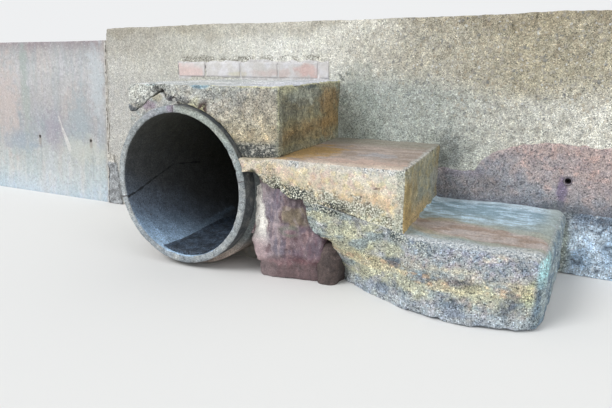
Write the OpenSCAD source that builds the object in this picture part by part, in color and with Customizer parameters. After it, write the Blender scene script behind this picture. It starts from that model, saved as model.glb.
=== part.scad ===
// Culvert headwall in cast concrete: a low leaning retaining wall in two bays, a
// rebated concrete pipe through it, and three steps cast over and beside the pipe.
// Seen from the front, +X runs right along the wall, +Y into the bank and +Z up.
// Shapes are drawn with X at the pipe's centre and Y at the wall's foot, then moved
// by in_frame() so that the origin is the middle of the footprint at ground level.

/* [Pipe] */
// Clear bore of the pipe
pipe_bore = 600; // [560:10:620]
// Wall thickness of the pipe's barrel
pipe_wall = 51; // [44:1:60]
// Wall thickness left at the rebated spigot
spigot_wall = 29; // [22:1:34]
// Length of the spigot in front of the shoulder
spigot_len = 78; // [60:2:90]
// Depth of the socket at the pipe's back end
socket_len = 70; // [50:2:90]
// Radial room in the socket for the next spigot
socket_room = 4; // [2:1:6]

/* [Wall] */
// Height of the main bay
wall_h = 1040; // [980:10:1150]
// How much lower the left bay ends
left_drop = 68; // [40:2:100]
// Thickness of both bays at the foot
wall_t = 300; // [290:10:400]
// How far the face leans back over the main bay's height
wall_lean = 70; // [40:2:90]
// Length of the left bay
left_len = 1540; // [1300:20:3000]
// Distance from the pipe's centre to the joint between the bays
joint_x = 1160; // [1100:10:1400]
// Distance from the pipe's centre to the main bay's right end
right_x = 1960; // [1800:20:3000]
// Width of the joint between the bays
joint_gap = 14; // [8:1:24]
// How far the joint's filler lies behind the face
joint_set_back = 12; // [6:1:20]
// Diameter of the form tie holes in the left bay
tie_d = 16; // [13:1:22]
// Height of the row of tie holes
tie_z = 372; // [300:4:450]
// Distance between tie holes
tie_pitch = 472; // [380:4:500]

/* [Steps] */
// Height of the bottom step
low_rise = 258; // [230:2:280]
// Rise from the bottom step to the middle step
mid_rise = 232; // [210:2:250]
// Rise from the middle step to the top step
top_rise = 270; // [256:2:290]
// Depth of the top step in front of the wall's foot
step_depth = 638; // [560:2:700]
// How far each lower step stands in front of the one above
step_creep = 8; // [4:1:24]
// How far the top step's face stands in front of the pipe's shoulder
face_proud = 8; // [4:1:20]
// How far the top step's concrete laps forward over the spigot
lap_t = 38; // [20:2:50]
// How far that lap spreads from the spigot
lap_w = 58; // [40:2:80]
// Height of the middle step's tip at the pipe
tip_h = 52; // [40:2:70]
// Drop of the top step's left end below its tread
left_hang = 92; // [80:2:110]
// Distance from the top step's left end to where its underside meets the pipe
crown_from = 223; // [200:1:240]
// Distance from the same end to the upper end of the old crack in its face
crack_from = 179; // [150:1:190]
// Concrete left over the crack's upper end
crack_cover = 30; // [20:1:44]
// Depth of the crown's mortar below the hanging left end
crown_skirt = 136; // [110:2:150]
// Rounding of the bottom tread's right-hand arris
low_arris = 34; // [10:2:50]
// Overhang of the top step to the left of the pipe's centre
top_left = 315; // [290:5:330]
// Width of the top step to the right of the pipe's centre
top_right = 446; // [430:2:480]
// Length of the middle step's tread
mid_going = 504; // [460:4:560]
// Length of the bottom step's tread
low_going = 472; // [420:4:520]
// How much shorter the two upper steps are at the wall than at the front
end_splay = 70; // [20:2:90]
// Forward bulge of the bottom step's foot
foot_bulge = 66; // [30:2:80]

/* [Stones and bricks] */
// Width of the sandstone block beside the pipe
stone_w = 238; // [215:1:250]
// Depth of the sandstone block
stone_depth = 180; // [150:5:210]
// How far the block's crease stands in front of the middle step
stone_proud = 9; // [4:1:16]
// Height of the block's undercut foot
stone_ledge = 104; // [60:4:130]
// Length of a brick
brick_l = 215; // [205:1:230]
// Width of a brick
brick_w = 102; // [98:1:112]
// Height of a brick
brick_h = 73; // [62:1:76]
// Mortar joint between bricks
brick_joint = 11; // [8:1:14]
// Distance from the pipe's centre to the left end of the bricks
brick_left = 608; // [560:4:640]
// Length of the first brick, cut at the head of the course
first_l = 177; // [150:1:200]
// Length of the cut brick at the right end
bat_l = 48; // [36:2:80]
// How far the brick faces stand in front of their mortar
brick_proud = 6; // [3:1:10]

/* [Coats and drain] */
// Thickness of the render coat on the lower wall
render_t = 8; // [5:1:14]
// Height of the pale toe at the wall's right foot
toe_h = 240; // [200:5:250]
// How far the toe stands out at the ground
toe_proud = 38; // [20:2:60]
// Distance from the pipe's centre to the weep hole
weep_x = 1417; // [1360:5:1500]
// Height of the weep hole
weep_z = 376; // [340:4:420]
// Outside diameter of the weep pipe
weep_d = 32; // [28:1:40]
// Wall thickness of the weep pipe
weep_wall = 3; // [2:0.5:5]
// Mortar packed round the barrel where it passes the wall
collar_t = 20; // [14:1:30]
// Half width of the strip under the barrel that no bedding reaches
bed_gap = 70; // [60:2:90]
// How far the bedding spreads to the left of the barrel
haunch_out = 49; // [30:1:70]
// Height of the bedding against the barrel
haunch_h = 140; // [100:5:180]
// How far the bedding starts behind the top step's face
haunch_back = 168; // [60:4:240]

/* [Hidden] */
$fn = 96;
eps = 0.5;
far = 4000;

bore_r = pipe_bore / 2;
spigot_r = bore_r + spigot_wall;
barrel_r = bore_r + pipe_wall;
socket_r = spigot_r + socket_room;
pipe_z = barrel_r;
shoulder_y = -(step_depth - face_proud);
pipe_front = shoulder_y - spigot_len;
pipe_back = wall_t;
pipe_len = pipe_back - pipe_front;

lean = wall_lean / wall_h;
left_h = wall_h - left_drop;
left_end = -joint_x - left_len;

low_top = low_rise;
mid_top = low_top + mid_rise;
top_top = mid_top + top_rise;
mid_depth = step_depth + step_creep;
low_depth = mid_depth + step_creep;
mid_right = top_right + mid_going;
low_right = mid_right + low_going;

// Underside of the middle step: level at the tip, a fall over the stones, then the
// seam down to the bottom tread
tip_z = mid_top - tip_h;
stone_gap = 4;
stone_x = barrel_r + 2 * stone_gap;
stone_end = stone_x + stone_w;
seam = [
    [stone_x - 20, tip_z],
    [stone_x + 33, tip_z],
    [stone_x + 46, tip_z - 36],
    [stone_x + 71, tip_z - 64],
    [stone_end - 97, tip_z - 93],
    [stone_end - 38, tip_z - 98],
    [mid_right, low_top + 4]
];
seam_end = seam[len(seam) - 1];
seam_start = seam[len(seam) - 2];
// Left edge of the bottom step's mass, down the side of the stones
low_edge = [
    seam_start,
    [stone_end - 34, tip_z - 124],
    [stone_end - 30, tip_z - 172],
    [stone_end - 11, tip_z - 202],
    [stone_end + 20, tip_z - 240]
];
mortar_front = shoulder_y + 2;
mortar_back = shoulder_y + 74;
// The same edge further down, in front of the rubble core
pocket_edge = [
    [stone_end + 57, tip_z - 249], [stone_end + 72, tip_z - 295],
    [stone_end + 78, tip_z - 351], [stone_end + 70, tip_z - 390], [stone_end + 66, -1]
];
core_front = -(mid_depth - stone_depth);

// The bricks lie in a pocket at the foot of the upper lift
lift_z = top_top;
pocket_h = brick_h + 2 * brick_joint;
pocket_right = -brick_left + first_l + 3 * brick_l + bat_l + 5 * brick_joint;
brick_face_y = lift_z * lean - brick_proud;

frame_x = (left_end + right_x) / 2;
frame_y = (wall_t - max(low_depth + foot_bulge, -pipe_front)) / 2;

function face_y(z) = z * lean;

module in_frame() {
    translate([-frame_x, -frame_y, 0]) children();
}

// A shape drawn in Y and Z, carried along X
module along_x(x_from, x_to) {
    translate([x_from, 0, 0])
        rotate([90, 0, 90])
            linear_extrude(x_to - x_from) children();
}

// A shape drawn in X and Z, carried along Y
module along_y(y_from, y_to) {
    translate([0, y_to, 0])
        rotate([90, 0, 0])
            linear_extrude(y_to - y_from) children();
}

// A round bar on the pipe's axis
module pipe_bar(r, y_from, y_to) {
    translate([0, y_to, pipe_z])
        rotate([90, 0, 0])
            cylinder(r = r, h = y_to - y_from, $fn = 128);
}

// Part of the leaning wall, from its face to its plumb back
module wall_block(x_from, x_to, z_from, z_to) {
    along_x(x_from, x_to)
        polygon([
            [face_y(z_from), z_from], [wall_t, z_from],
            [wall_t, z_to], [face_y(z_to), z_to]
        ]);
}

// A coat of even thickness that follows the leaning face
module face_coat(t, z_to) {
    along_x(left_end, right_x)
        polygon([
            [-t, 0], [0, 0], [face_y(z_to), z_to], [face_y(z_to) - t, z_to]
        ]);
}

// The space of a step: from its front to the leaning wall, with a splayed right end
module step_space(x_from, x_to, depth, splay, z_to) {
    intersection() {
        linear_extrude(z_to)
            polygon([
                [x_from, -depth], [x_to, -depth],
                [x_to - splay, face_y(z_to)], [x_from, face_y(z_to)]
            ]);
        along_x(x_from - far, x_to + far)
            polygon([[-depth, 0], [0, 0], [face_y(z_to), z_to], [-depth, z_to]]);
    }
}

module left_wall_bay() color("#b5b6b2") in_frame() difference() {
    wall_block(left_end, -joint_x - joint_gap / 2, 0, left_h);
    for (i = [0 : 2])
        translate([-joint_x - 145 - i * tie_pitch, 80, tie_z])
            rotate([90, 0, 0])
                cylinder(d = tie_d, h = 160, $fn = 32);
}

module bay_joint_filler() color("#3d3a36") in_frame() {
    translate([0, joint_set_back, 0])
        along_x(-joint_x - joint_gap / 2, -joint_x + joint_gap / 2)
            polygon([
                [0, 0], [wall_t - joint_set_back, 0],
                [wall_t - joint_set_back, left_h], [face_y(left_h), left_h]
            ]);
}

// Mortar that patches the broken corner at the foot of the joint
module joint_foot_patch() color("#a79f8e") in_frame() intersection() {
    face_coat(render_t + 4, wall_h);
    along_y(-far, far)
        polygon([
            [-joint_x + 8, 0], [-joint_x + 100, 0], [-joint_x + 84, 120],
            [-joint_x + 62, 230], [-joint_x + 40, 292], [-joint_x + 8, 304]
        ]);
}

module main_wall_lower_lift() color("#8f8d7c") in_frame() difference() {
    wall_block(-joint_x + joint_gap / 2, right_x, 0, lift_z);
    pipe_bar(barrel_r + collar_t, -far, far);
    translate([weep_x, far / 2, weep_z])
        rotate([90, 0, 0])
            cylinder(d = weep_d, h = far, $fn = 48);
}

module main_wall_upper_lift() color("#9c8f75") in_frame() difference() {
    wall_block(-joint_x + joint_gap / 2, right_x, lift_z, wall_h);
    brick_pocket();
}

// The pocket for the brick course is one brick's width deep
module brick_pocket() {
    translate([-brick_left, -eps, lift_z - eps])
        cube([pocket_right + brick_left, brick_face_y + brick_w + brick_joint, pocket_h + eps]);
}

// Left edge of brick number i, counted from the head of the course
function brick_x(i) = -brick_left + brick_joint
    + (i > 0 ? first_l + brick_joint + (i - 1) * (brick_l + brick_joint) : 0);

module brick(i, along) {
    translate([brick_x(i), brick_face_y, lift_z + brick_joint])
        cube([along, brick_w, brick_h]);
}

module header_brick() color("#b98d80") in_frame() brick(0, first_l);

module stretcher_brick_1() color("#c29a8c") in_frame() brick(1, brick_l);

module stretcher_brick_2() color("#bb9183") in_frame() brick(2, brick_l);

module stretcher_brick_3() color("#c39c90") in_frame() brick(3, brick_l);

module end_bat() color("#b58a7d") in_frame() brick(4, bat_l);

module brick_mortar() color("#c9c2b4") in_frame() difference() {
    intersection() {
        translate([0, 0, eps]) brick_pocket();
        translate([0, brick_proud, 0]) wall_block(left_end, right_x, lift_z, lift_z + pocket_h);
        translate([-far, 0, lift_z]) cube([2 * far, far, pocket_h]);
    }
    brick(0, first_l);
    for (i = [1 : 3]) brick(i, brick_l);
    brick(4, bat_l);
}

// Pink render on the lower wall, right of the steps, with a ragged top edge
module render_coat() color("#a08a80") in_frame() difference() {
    intersection() {
        face_coat(render_t, wall_h);
        along_y(-far, far)
            polygon([
                [mid_right - end_splay, low_top], [low_right, low_top],
                [low_right, toe_h], [right_x, toe_h], [right_x, mid_top + 28],
                [mid_right + 350, mid_top + 32], [mid_right + 160, mid_top - 16],
                [mid_right + 100, mid_top - 60], [mid_right + 84, mid_top - 94],
                [mid_right - end_splay, mid_top - 102]
            ]);
    }
    translate([weep_x, far / 2, weep_z])
        rotate([90, 0, 0])
            cylinder(d = weep_d, h = far, $fn = 48);
}

module weep_pipe() color("#7c7470") in_frame() difference() {
    translate([weep_x, wall_t, weep_z])
        rotate([90, 0, 0])
            cylinder(d = weep_d, h = wall_t - face_y(weep_z) + render_t, $fn = 48);
    translate([weep_x, far / 2, weep_z])
        rotate([90, 0, 0])
            cylinder(d = weep_d - 2 * weep_wall, h = far, $fn = 48);
}

module wall_toe() color("#c2c6c6") in_frame() {
    along_x(low_right, right_x)
        polygon([
            [-toe_proud, 0], [0, 0], [face_y(toe_h), toe_h],
            [face_y(toe_h) - render_t - 4, toe_h], [-toe_proud + 8, toe_h - 60]
        ]);
}

// One precast length: spigot to the front, socket to the bank
module spigot_pipe() color("#bdbdb6") in_frame() {
    translate([0, pipe_front, pipe_z])
        rotate([-90, 0, 0])
            rotate_extrude($fn = 128)
                polygon([
                    [bore_r, 0], [spigot_r - 5, 0], [spigot_r, 5],
                    [spigot_r, spigot_len], [barrel_r, spigot_len], [barrel_r, pipe_len],
                    [socket_r, pipe_len], [socket_r, pipe_len - socket_len],
                    [bore_r, pipe_len - socket_len]
                ]);
}

module pipe_collar() color("#9b968a") in_frame() difference() {
    intersection() {
        wall_block(-joint_x, right_x, 0, lift_z);
        pipe_bar(barrel_r + collar_t, -far, far);
    }
    pipe_bar(barrel_r, -far, far);
    translate([-bed_gap, -far, -1]) cube([2 * bed_gap, 2 * far, barrel_r / 2]);
}

// Bedding concrete under the open left side of the barrel
module pipe_haunch() color("#96928a") in_frame() difference() {
    along_y(-(step_depth - haunch_back), 0)
        polygon([
            [-barrel_r - haunch_out, 0], [-bed_gap, 0], [-bed_gap, haunch_h / 4],
            [-barrel_r + 11, haunch_h], [-barrel_r - haunch_out * 0.7, haunch_h * 0.6]
        ]);
    pipe_bar(barrel_r, -far, far);
}

// Underside of the top step left of the pipe's crown: it rises from the hanging left
// end along the old crack, then drops onto the pipe
function crown_line() = [
    [-top_left, top_top - left_hang], [-top_left + 14, top_top - left_hang - 26],
    [-top_left + 31, top_top - left_hang - 30], [-top_left + 73, top_top - left_hang - 7],
    [-top_left + 115, top_top - left_hang + 23], [-top_left + crack_from, top_top - crack_cover],
    [-top_left + crack_from + 26, top_top - crack_cover - 7],
    [-top_left + crown_from, top_top - left_hang + 4]
];

// Mortar packed between the pipe's crown and the top step
module crown_mortar() color("#a58d83") in_frame() difference() {
    along_y(-(step_depth - face_proud / 2), 0)
        polygon(concat(
            [[-top_left + crown_from, pipe_z], [-top_left + 20, top_top - left_hang - crown_skirt],
            [-top_left + 8, top_top - left_hang - 80]],
            [for (i = [1 : len(crown_line()) - 1]) crown_line()[i]]
        ));
    pipe_bar(barrel_r, shoulder_y, far);
    pipe_bar(spigot_r, -far, far);
}

module top_step() color("#a59c80") in_frame() difference() {
    union() {
        intersection() {
            step_space(-top_left, top_right, step_depth, end_splay, top_top);
            along_y(-far, far)
                polygon(concat(
                    crown_line(),
                    [[-top_left + crown_from, mid_top], [top_right, mid_top], [top_right, top_top],
                    [-top_left, top_top]]
                ));
        }
        spigot_lap();
    }
    pipe_bar(barrel_r, shoulder_y, far);
    pipe_bar(spigot_r, -far, far);
}

// Concrete that ran forward round the spigot while the step was wet, from the middle
// tread up to the pipe's crown
module spigot_lap() {
    intersection() {
        translate([0, -step_depth, pipe_z])
            rotate([90, 0, 0])
                rotate_extrude($fn = 128)
                    polygon([
                        [spigot_r, -20], [spigot_r, lap_t], [spigot_r + lap_w * 0.2, lap_t * 0.85],
                        [spigot_r + lap_w * 0.5, lap_t * 0.4], [spigot_r + lap_w, 0],
                        [spigot_r + lap_w, -20]
                    ]);
        along_y(-far, far)
            polygon([
                [spigot_r / 2, mid_top], [far, mid_top], [far, top_top], [60, top_top],
                [30, pipe_z + spigot_r]
            ]);
    }
}

// The middle step laps forward over the pipe's rebate at its left tip
module middle_step() color("#c5b087") in_frame() difference() {
    union() {
        intersection() {
            step_space(0, mid_right, mid_depth, end_splay, mid_top);
            along_y(-far, far)
                polygon(concat([[0, mid_top], [0, tip_z]], seam, [[mid_right, mid_top]]));
        }
        intersection() {
            linear_extrude(mid_top)
                polygon([
                    [0, pipe_front + 8], [spigot_r + 10, pipe_front + 8],
                    [barrel_r + 24, pipe_front + 22], [barrel_r + 70, -(mid_depth + 8)],
                    [barrel_r + 110, -mid_depth], [barrel_r + 110, shoulder_y], [0, shoulder_y]
                ]);
            along_y(-far, far)
                polygon(concat(
                    [[0, mid_top], [0, tip_z]], [for (i = [0 : 3]) seam[i]],
                    [[barrel_r + 110, tip_z - 64], [barrel_r + 110, mid_top]]
                ));
        }
    }
    pipe_bar(barrel_r, shoulder_y, far);
    pipe_bar(spigot_r, -far, far);
}

// Rough mass under the two lower treads, bulging forward at its foot
module bottom_step() color("#a9a184") in_frame() difference() {
    union() {
        intersection() {
            step_space(stone_end - 60, low_right, low_depth, 0, low_top);
            along_y(core_front, far)
                polygon([
                    [low_right, 0], [low_right, low_top], [stone_end - 60, low_top], [stone_end - 60, 0]
                ]);
        }
        intersection() {
            step_space(stone_end - 60, mid_right, mid_depth, 0, mid_top);
            along_y(core_front, far)
                polygon([[mid_right, 0], seam_end, seam_start, [seam_start[0], 0]]);
        }
        low_front();
    }
    above_low_tread();
    low_arris_round();
    stone_pocket();
    along_y(core_front - eps, far)
        polygon(concat(low_edge, [[stone_end + 20, -1], [0, -1], [0, low_edge[0][1]]]));
}

// What rain and feet have taken off the bottom tread's right-hand arris
module low_arris_round() {
    difference() {
        translate([low_right - low_arris, -far, low_top - low_arris])
            cube([low_arris + 1, 2 * far, low_arris + 1]);
        translate([low_right - low_arris, far, low_top - low_arris])
            rotate([90, 0, 0])
                cylinder(r = low_arris, h = 2 * far);
    }
}

// Everything over the bottom tread and over the seam under the middle step
module above_low_tread() {
    along_y(-far, far)
        polygon([
            [0, seam_start[1]], seam_start, seam_end, [mid_right, low_top],
            [low_right + eps, low_top], [low_right + eps, far], [0, far]
        ]);
}

// The face between the straight arris and the bulging foot: a belly at mid height
// and an undercut beside the stones
module low_front() {
    hull() {
        translate([mid_right, -low_depth, low_top - 1]) cube([low_going, 100, 1]);
        belly();
        along_y(-mid_depth, core_front)
            polygon([
                [seam_start[0], tip_z - 138], seam_start, seam_end, [mid_right, tip_z - 220]
            ]);
    }
    hull() {
        belly();
        linear_extrude(40)
            polygon([
                [stone_end + 46, core_front], [stone_end + 111, core_front - 56],
                [mid_right - 153, -(low_depth - 60)], [mid_right - 50, -(low_depth - 8)],
                [mid_right + 46, -(low_depth + foot_bulge * 0.64)],
                [mid_right + 140, -(low_depth + foot_bulge)],
                [low_right - 132, -(low_depth + foot_bulge)],
                [low_right - 14, -(low_depth + 12)], [low_right, -(low_depth - 24)],
                [low_right, core_front]
            ]);
    }
}

module belly() {
    translate([0, 0, tip_z - 250])
        linear_extrude(4)
            polygon([
                [stone_end + 20, core_front], [stone_end + 22, -(mid_depth - 20)],
                [stone_end + 70, -(mid_depth - 6)], [mid_right, -(low_depth + foot_bulge * 0.25)],
                [mid_right + 130, -(low_depth + foot_bulge * 0.45)],
                [low_right - 70, -(low_depth + foot_bulge * 0.4)],
                [low_right, -(low_depth - 6)], [low_right, core_front]
            ]);
}

// The hollow in the mass where the two stones stand
module stone_pocket() {
    along_y(-far, core_front)
        polygon(concat(low_edge, pocket_edge, [[0, -1], [0, low_edge[0][1]]]));
}

// Upright block of red sandstone that packs the side of the pipe: a narrow facet at
// the left, two wide ones that meet in a crease, and an undercut foot
module sandstone_block() color("#b39190") in_frame() difference() {
    intersection() {
        along_y(-far, core_front - eps)
            polygon(concat(
                [[stone_x - 33, 0], [stone_x - 48, 53], [stone_x - 42, 136], [stone_x - 27, 172],
                [stone_x - 18, 235], [stone_x - 16, tip_z - 67], [stone_x - 7, tip_z - 50],
                [stone_x + 45, tip_z - 38], [stone_x + 70, tip_z - 66],
                [stone_end - 98, tip_z - 95], [stone_end - 41, tip_z - 100]],
                [for (i = [1 : 4]) low_edge[i] - [3, 1]],
                [[stone_end + 20, 125], [stone_end + 11, 91], [stone_end + 9, 0]]
            ));
        linear_extrude(tip_z)
            polygon([
                [stone_x - 60, -(mid_depth - 14)], [stone_x - 18, -(mid_depth - 4)],
                [stone_x + 6, -(mid_depth + stone_proud - 3)],
                [stone_x + 110, -(mid_depth + stone_proud)],
                [stone_end - 37, -(mid_depth - 12)], [stone_end + 24, -(mid_depth - 34)],
                [stone_end + 24, 0], [stone_x - 60, 0]
            ]);
    }
    along_x(0, far)
        polygon([
            [-far, -1], [-(mid_depth - 26), -1], [-(mid_depth - 26), stone_ledge - 62],
            [-(mid_depth - 4), stone_ledge - 28], [-(mid_depth + 14), stone_ledge], [-far, stone_ledge]
        ]);
    pipe_bar(barrel_r + stone_gap, shoulder_y - 1, far);
    pipe_bar(spigot_r + stone_gap, -far, far);
}

// Rounded dark stone behind the block's right edge
module backing_stone() color("#6f4f49") in_frame() {
    hull() {
        for (p = [[44, 26], [44, 126]])
            translate([stone_end + p[0], -(mid_depth - 90), p[1]])
                scale([1, 2.8, 1]) sphere(r = 22, $fn = 24);
        translate([stone_end + 60, -(mid_depth - 56), 40]) sphere(r = 22, $fn = 24);
        translate([stone_end + 24, -(mid_depth - 60), 0]) cube([40, 60, 10]);
    }
}

// Mortar that fills the slot between the barrel, the sandstone and the step's tip
module stone_mortar() color("#cfc3a8") in_frame() difference() {
    union() {
        along_y(mortar_front, mortar_back)
            polygon([
                [0, 172], [stone_x - 27, 172], [stone_x - 18, 235],
                [stone_x - 16, tip_z - 67], [stone_x - 7, tip_z - 50], [stone_x + 45, tip_z - 38],
                [stone_x + 33, tip_z - 1], [0, tip_z - 1]
            ]);
        intersection() {
            pipe_bar(barrel_r + stone_gap, mortar_front, mortar_back);
            along_y(-far, far)
                polygon([[0, 172], [far, 172], [far, tip_z - 38], [0, tip_z - 38]]);
        }
    }
    pipe_bar(barrel_r, -far, far);
}

// Concrete and rubble behind the stones, under the middle step
module rubble_core() color("#8b877c") in_frame() difference() {
    intersection() {
        along_y(core_front, far)
            polygon(concat(
                [[bed_gap, 0], [bed_gap, tip_z]], [for (i = [0 : len(seam) - 2]) seam[i]],
                [for (i = [1 : 4]) low_edge[i]], [[stone_end + 20, 0]]
            ));
        along_x(-far, far)
            polygon([[-far, 0], [0, 0], [face_y(mid_top), mid_top], [-far, mid_top]]);
    }
    pipe_bar(barrel_r, -far, far);
}

left_wall_bay();
bay_joint_filler();
joint_foot_patch();
main_wall_lower_lift();
main_wall_upper_lift();
header_brick();
stretcher_brick_1();
stretcher_brick_2();
stretcher_brick_3();
end_bat();
brick_mortar();
render_coat();
weep_pipe();
wall_toe();
spigot_pipe();
pipe_collar();
pipe_haunch();
crown_mortar();
top_step();
middle_step();
bottom_step();
sandstone_block();
backing_stone();
stone_mortar();
rubble_core();
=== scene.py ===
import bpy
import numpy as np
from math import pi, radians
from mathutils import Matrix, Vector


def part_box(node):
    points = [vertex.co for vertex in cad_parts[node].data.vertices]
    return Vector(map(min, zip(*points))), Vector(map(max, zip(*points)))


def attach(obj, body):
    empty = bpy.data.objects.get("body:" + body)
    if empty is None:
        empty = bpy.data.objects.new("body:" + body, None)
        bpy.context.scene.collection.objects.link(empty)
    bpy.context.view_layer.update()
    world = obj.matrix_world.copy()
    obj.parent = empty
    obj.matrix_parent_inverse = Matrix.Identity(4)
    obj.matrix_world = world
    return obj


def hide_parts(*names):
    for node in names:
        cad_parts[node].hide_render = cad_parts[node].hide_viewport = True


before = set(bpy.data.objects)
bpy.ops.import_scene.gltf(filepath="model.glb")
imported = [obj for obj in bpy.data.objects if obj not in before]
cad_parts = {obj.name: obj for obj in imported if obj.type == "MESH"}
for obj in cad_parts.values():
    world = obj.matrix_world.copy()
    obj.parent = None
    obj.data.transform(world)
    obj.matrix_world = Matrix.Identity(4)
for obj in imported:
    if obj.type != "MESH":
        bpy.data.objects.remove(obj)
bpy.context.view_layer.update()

# %% [markdown]
# # A culvert headwall in weathered concrete
# A culvert is a pipe for surface water. At its open end a headwall holds back the fill
# and frames the pipe. On this one, three concrete steps were cast over and beside the
# pipe, so the wall, the pipe and the steps have each weathered in their own way. The solid
# model gives every size and place; this lesson gives each piece its worn shape and finish.
# Nothing moves, so every piece rides on the one body, "root".

PX = (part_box("spigot_pipe")[0][0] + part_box("spigot_pipe")[1][0]) / 2
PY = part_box("main_wall_lower_lift")[0][1]
WALL_H, LEFT_H = (1000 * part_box(n)[1][2] for n in ("main_wall_upper_lift", "left_wall_bay"))
TOP, MID = (1000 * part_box(n)[1][2] for n in ("top_step", "middle_step"))
LOW = MID - 232
LEAN, THICK = 70 / 1040, 300  # how far the wall leans per millimetre up; its foot's thickness
AXIS = BARREL = 351  # the barrel rests on the ground, so its radius is its axis' height
BORE, SPIGOT, SHOULDER = 300, 329, -630  # the pipe's inner radius, its spigot's, and y of its step
BAY_LEFT, BAY_RIGHT = -1153, 1960  # ends of the main bay beside the pipe's axis
WEEP = 1417, 376, 17  # x, height and radius of the weep hole
TIES, TIE_Z = (-2249, -1777, -1305), 372  # x and height of the form tie holes
MOUTH, TOP_FRONT, MID_FRONT, LOW_FRONT = -708, -638, -646, -650  # y of pipe's and steps' faces
print("pipe's axis and wall's foot in metres:", round(PX, 3), round(PY, 3))
print("wall heights and treads in millimetres:", np.round((WALL_H, LEFT_H, TOP, MID, LOW)))

# %% [markdown]
# ## Camera
# A photograph can be matched by turning and tilting the camera by eye, or by solving its
# place from known edges. It was solved here: level lines of the steps and the round mouth
# of the pipe fix the distance, the turn of 28 degrees and the tilt of 14 degrees.

# %% Camera
SENSOR, PICTURE, FOCAL = 36, 612, 579.6  # film in mm; picture width and focal length in pixels
lens = bpy.data.cameras.new("camera")
lens.sensor_width = SENSOR
lens.lens = FOCAL / PICTURE * SENSOR
camera = bpy.data.objects.new("camera", lens)
camera.location = (1.5616 + PX, -2.5201 + PY, 0.848)
camera.rotation_euler = (pi / 2 - radians(13.786), radians(0.034), radians(28.003))
bpy.context.collection.objects.link(camera)
bpy.context.scene.camera = camera
print("focal length in millimetres:", round(lens.lens, 1))

# %% [markdown]
# ## Light, floor and backdrop
# Colours can only be judged under a plain level of light. A soft sun from the upper left
# does half of the work and an even sky the other half, so that a white card on the floor
# would come out just white. The pale background is seen by the camera alone.

# %% Light, floor and backdrop
world = bpy.data.worlds.new("sky")
bpy.context.scene.world = world
world.use_nodes = True
tree = world.node_tree
sky = tree.nodes["Background"]
sky.inputs["Color"].default_value = (0.96, 0.98, 1, 1)
sky.inputs["Strength"].default_value = 0.6
pale = tree.nodes.new("ShaderNodeBackground")
pale.inputs["Color"].default_value = (0.86, 0.87, 0.88, 1)
seen = tree.nodes.new("ShaderNodeLightPath")
either = tree.nodes.new("ShaderNodeMath")
either.operation = "MAXIMUM"
tree.links.new(seen.outputs["Is Camera Ray"], either.inputs[0])
tree.links.new(seen.outputs["Is Glossy Ray"], either.inputs[1])
choose = tree.nodes.new("ShaderNodeMixShader")
tree.links.new(either.outputs[0], choose.inputs[0])
tree.links.new(sky.outputs[0], choose.inputs[1])
tree.links.new(pale.outputs[0], choose.inputs[2])
tree.links.new(choose.outputs[0], tree.nodes["World Output"].inputs[0])

for name, energy, spread, turn in (
        ("soft_sun", 1.7, 28, (46, 0, -31)),
        ("fill_sun", 0.6, 70, (55, 0, 48)),
):
    sun = bpy.data.lights.new(name, "SUN")
    sun.energy, sun.angle = energy, radians(spread)
    lamp = bpy.data.objects.new(name, sun)
    lamp.rotation_euler = [radians(v) for v in turn]
    bpy.context.collection.objects.link(lamp)
bpy.context.scene.view_settings.view_transform = "Standard"
print("sky strength:", round(sky.inputs["Strength"].default_value, 2))

# %% [markdown]
# ## Noise as arrays
# Worn concrete is uneven at every scale. Noise gives that: random numbers on the corners
# of a grid, blended smoothly in between, and summed at finer and finer sizes. It is a
# function of the point in space, so two pieces that meet are uneven in the same way.

# %% Noise
def corner_values(cell, seed):
    """A fixed random number from -1 to 1 for each grid corner: the three whole numbers
    are multiplied by large primes, added, and scrambled twice by shift and multiply."""
    h = (cell * np.array([73856093, 19349663, 83492791])).sum(1) + 9781 * seed & 0x7FFFFFFF
    h = (h ^ (h >> 13)) * 1274126177 & 0x7FFFFFFF
    h = (h ^ (h >> 16)) * 668265263 & 0x7FFFFFFF
    return h / 0x3FFFFFFF - 1


def noise(p, size, seed, octaves=3):
    """Sum over octaves of half as much noise at half the size. One octave blends the
    eight corners of its cell with the weight t * t * (3 - 2t) along each axis."""
    total = np.zeros(len(p))
    for octave in range(octaves):
        q = p * 2 ** octave / size + 17.3 * octave
        cell = np.floor(q).astype(np.int64)
        t = q - cell
        t = t * t * (3 - 2 * t)
        for corner in range(8):
            step = np.array([corner & 1, corner >> 1 & 1, corner >> 2])
            weight = np.where(step, t, 1 - t).prod(1)
            total += weight * corner_values(cell + step, seed + octave) / 2 ** octave
    return total


def smooth(v, lo, hi):
    """0 below lo and 1 above hi, with t * t * (3 - 2t) between."""
    t = np.clip((v - lo) / (hi - lo), 0, 1)
    return t * t * (3 - 2 * t)


print("noise of 9 points:", np.round(noise(np.arange(27.0).reshape(9, 3), 4, 1), 2))

# %% [markdown]
# ## A cast block as one closed surface
# Concrete is cast in boxes, so most pieces start as a box whose six sides are fine grids
# that share their edge points. The points are then pulled into a rounded box, bent to the
# real outline by a formula, and moved in and out along the surface by noise. Sculpting
# could do the same by hand, but formulas keep it exact where pieces meet.

# %% A box of six grids
def steps(a, b, size, fine=()):
    """Even steps of about the given size from a to b, with finer ones of 4 mm within
    22 mm of each place that fine lists."""
    v = [np.linspace(a, b, max(2, round(abs(b - a) / size) + 1))]
    v += [np.arange(c - 22, c + 22.1, 4) for c in fine]
    return np.unique(np.round(np.concatenate(v), 3))


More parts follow.
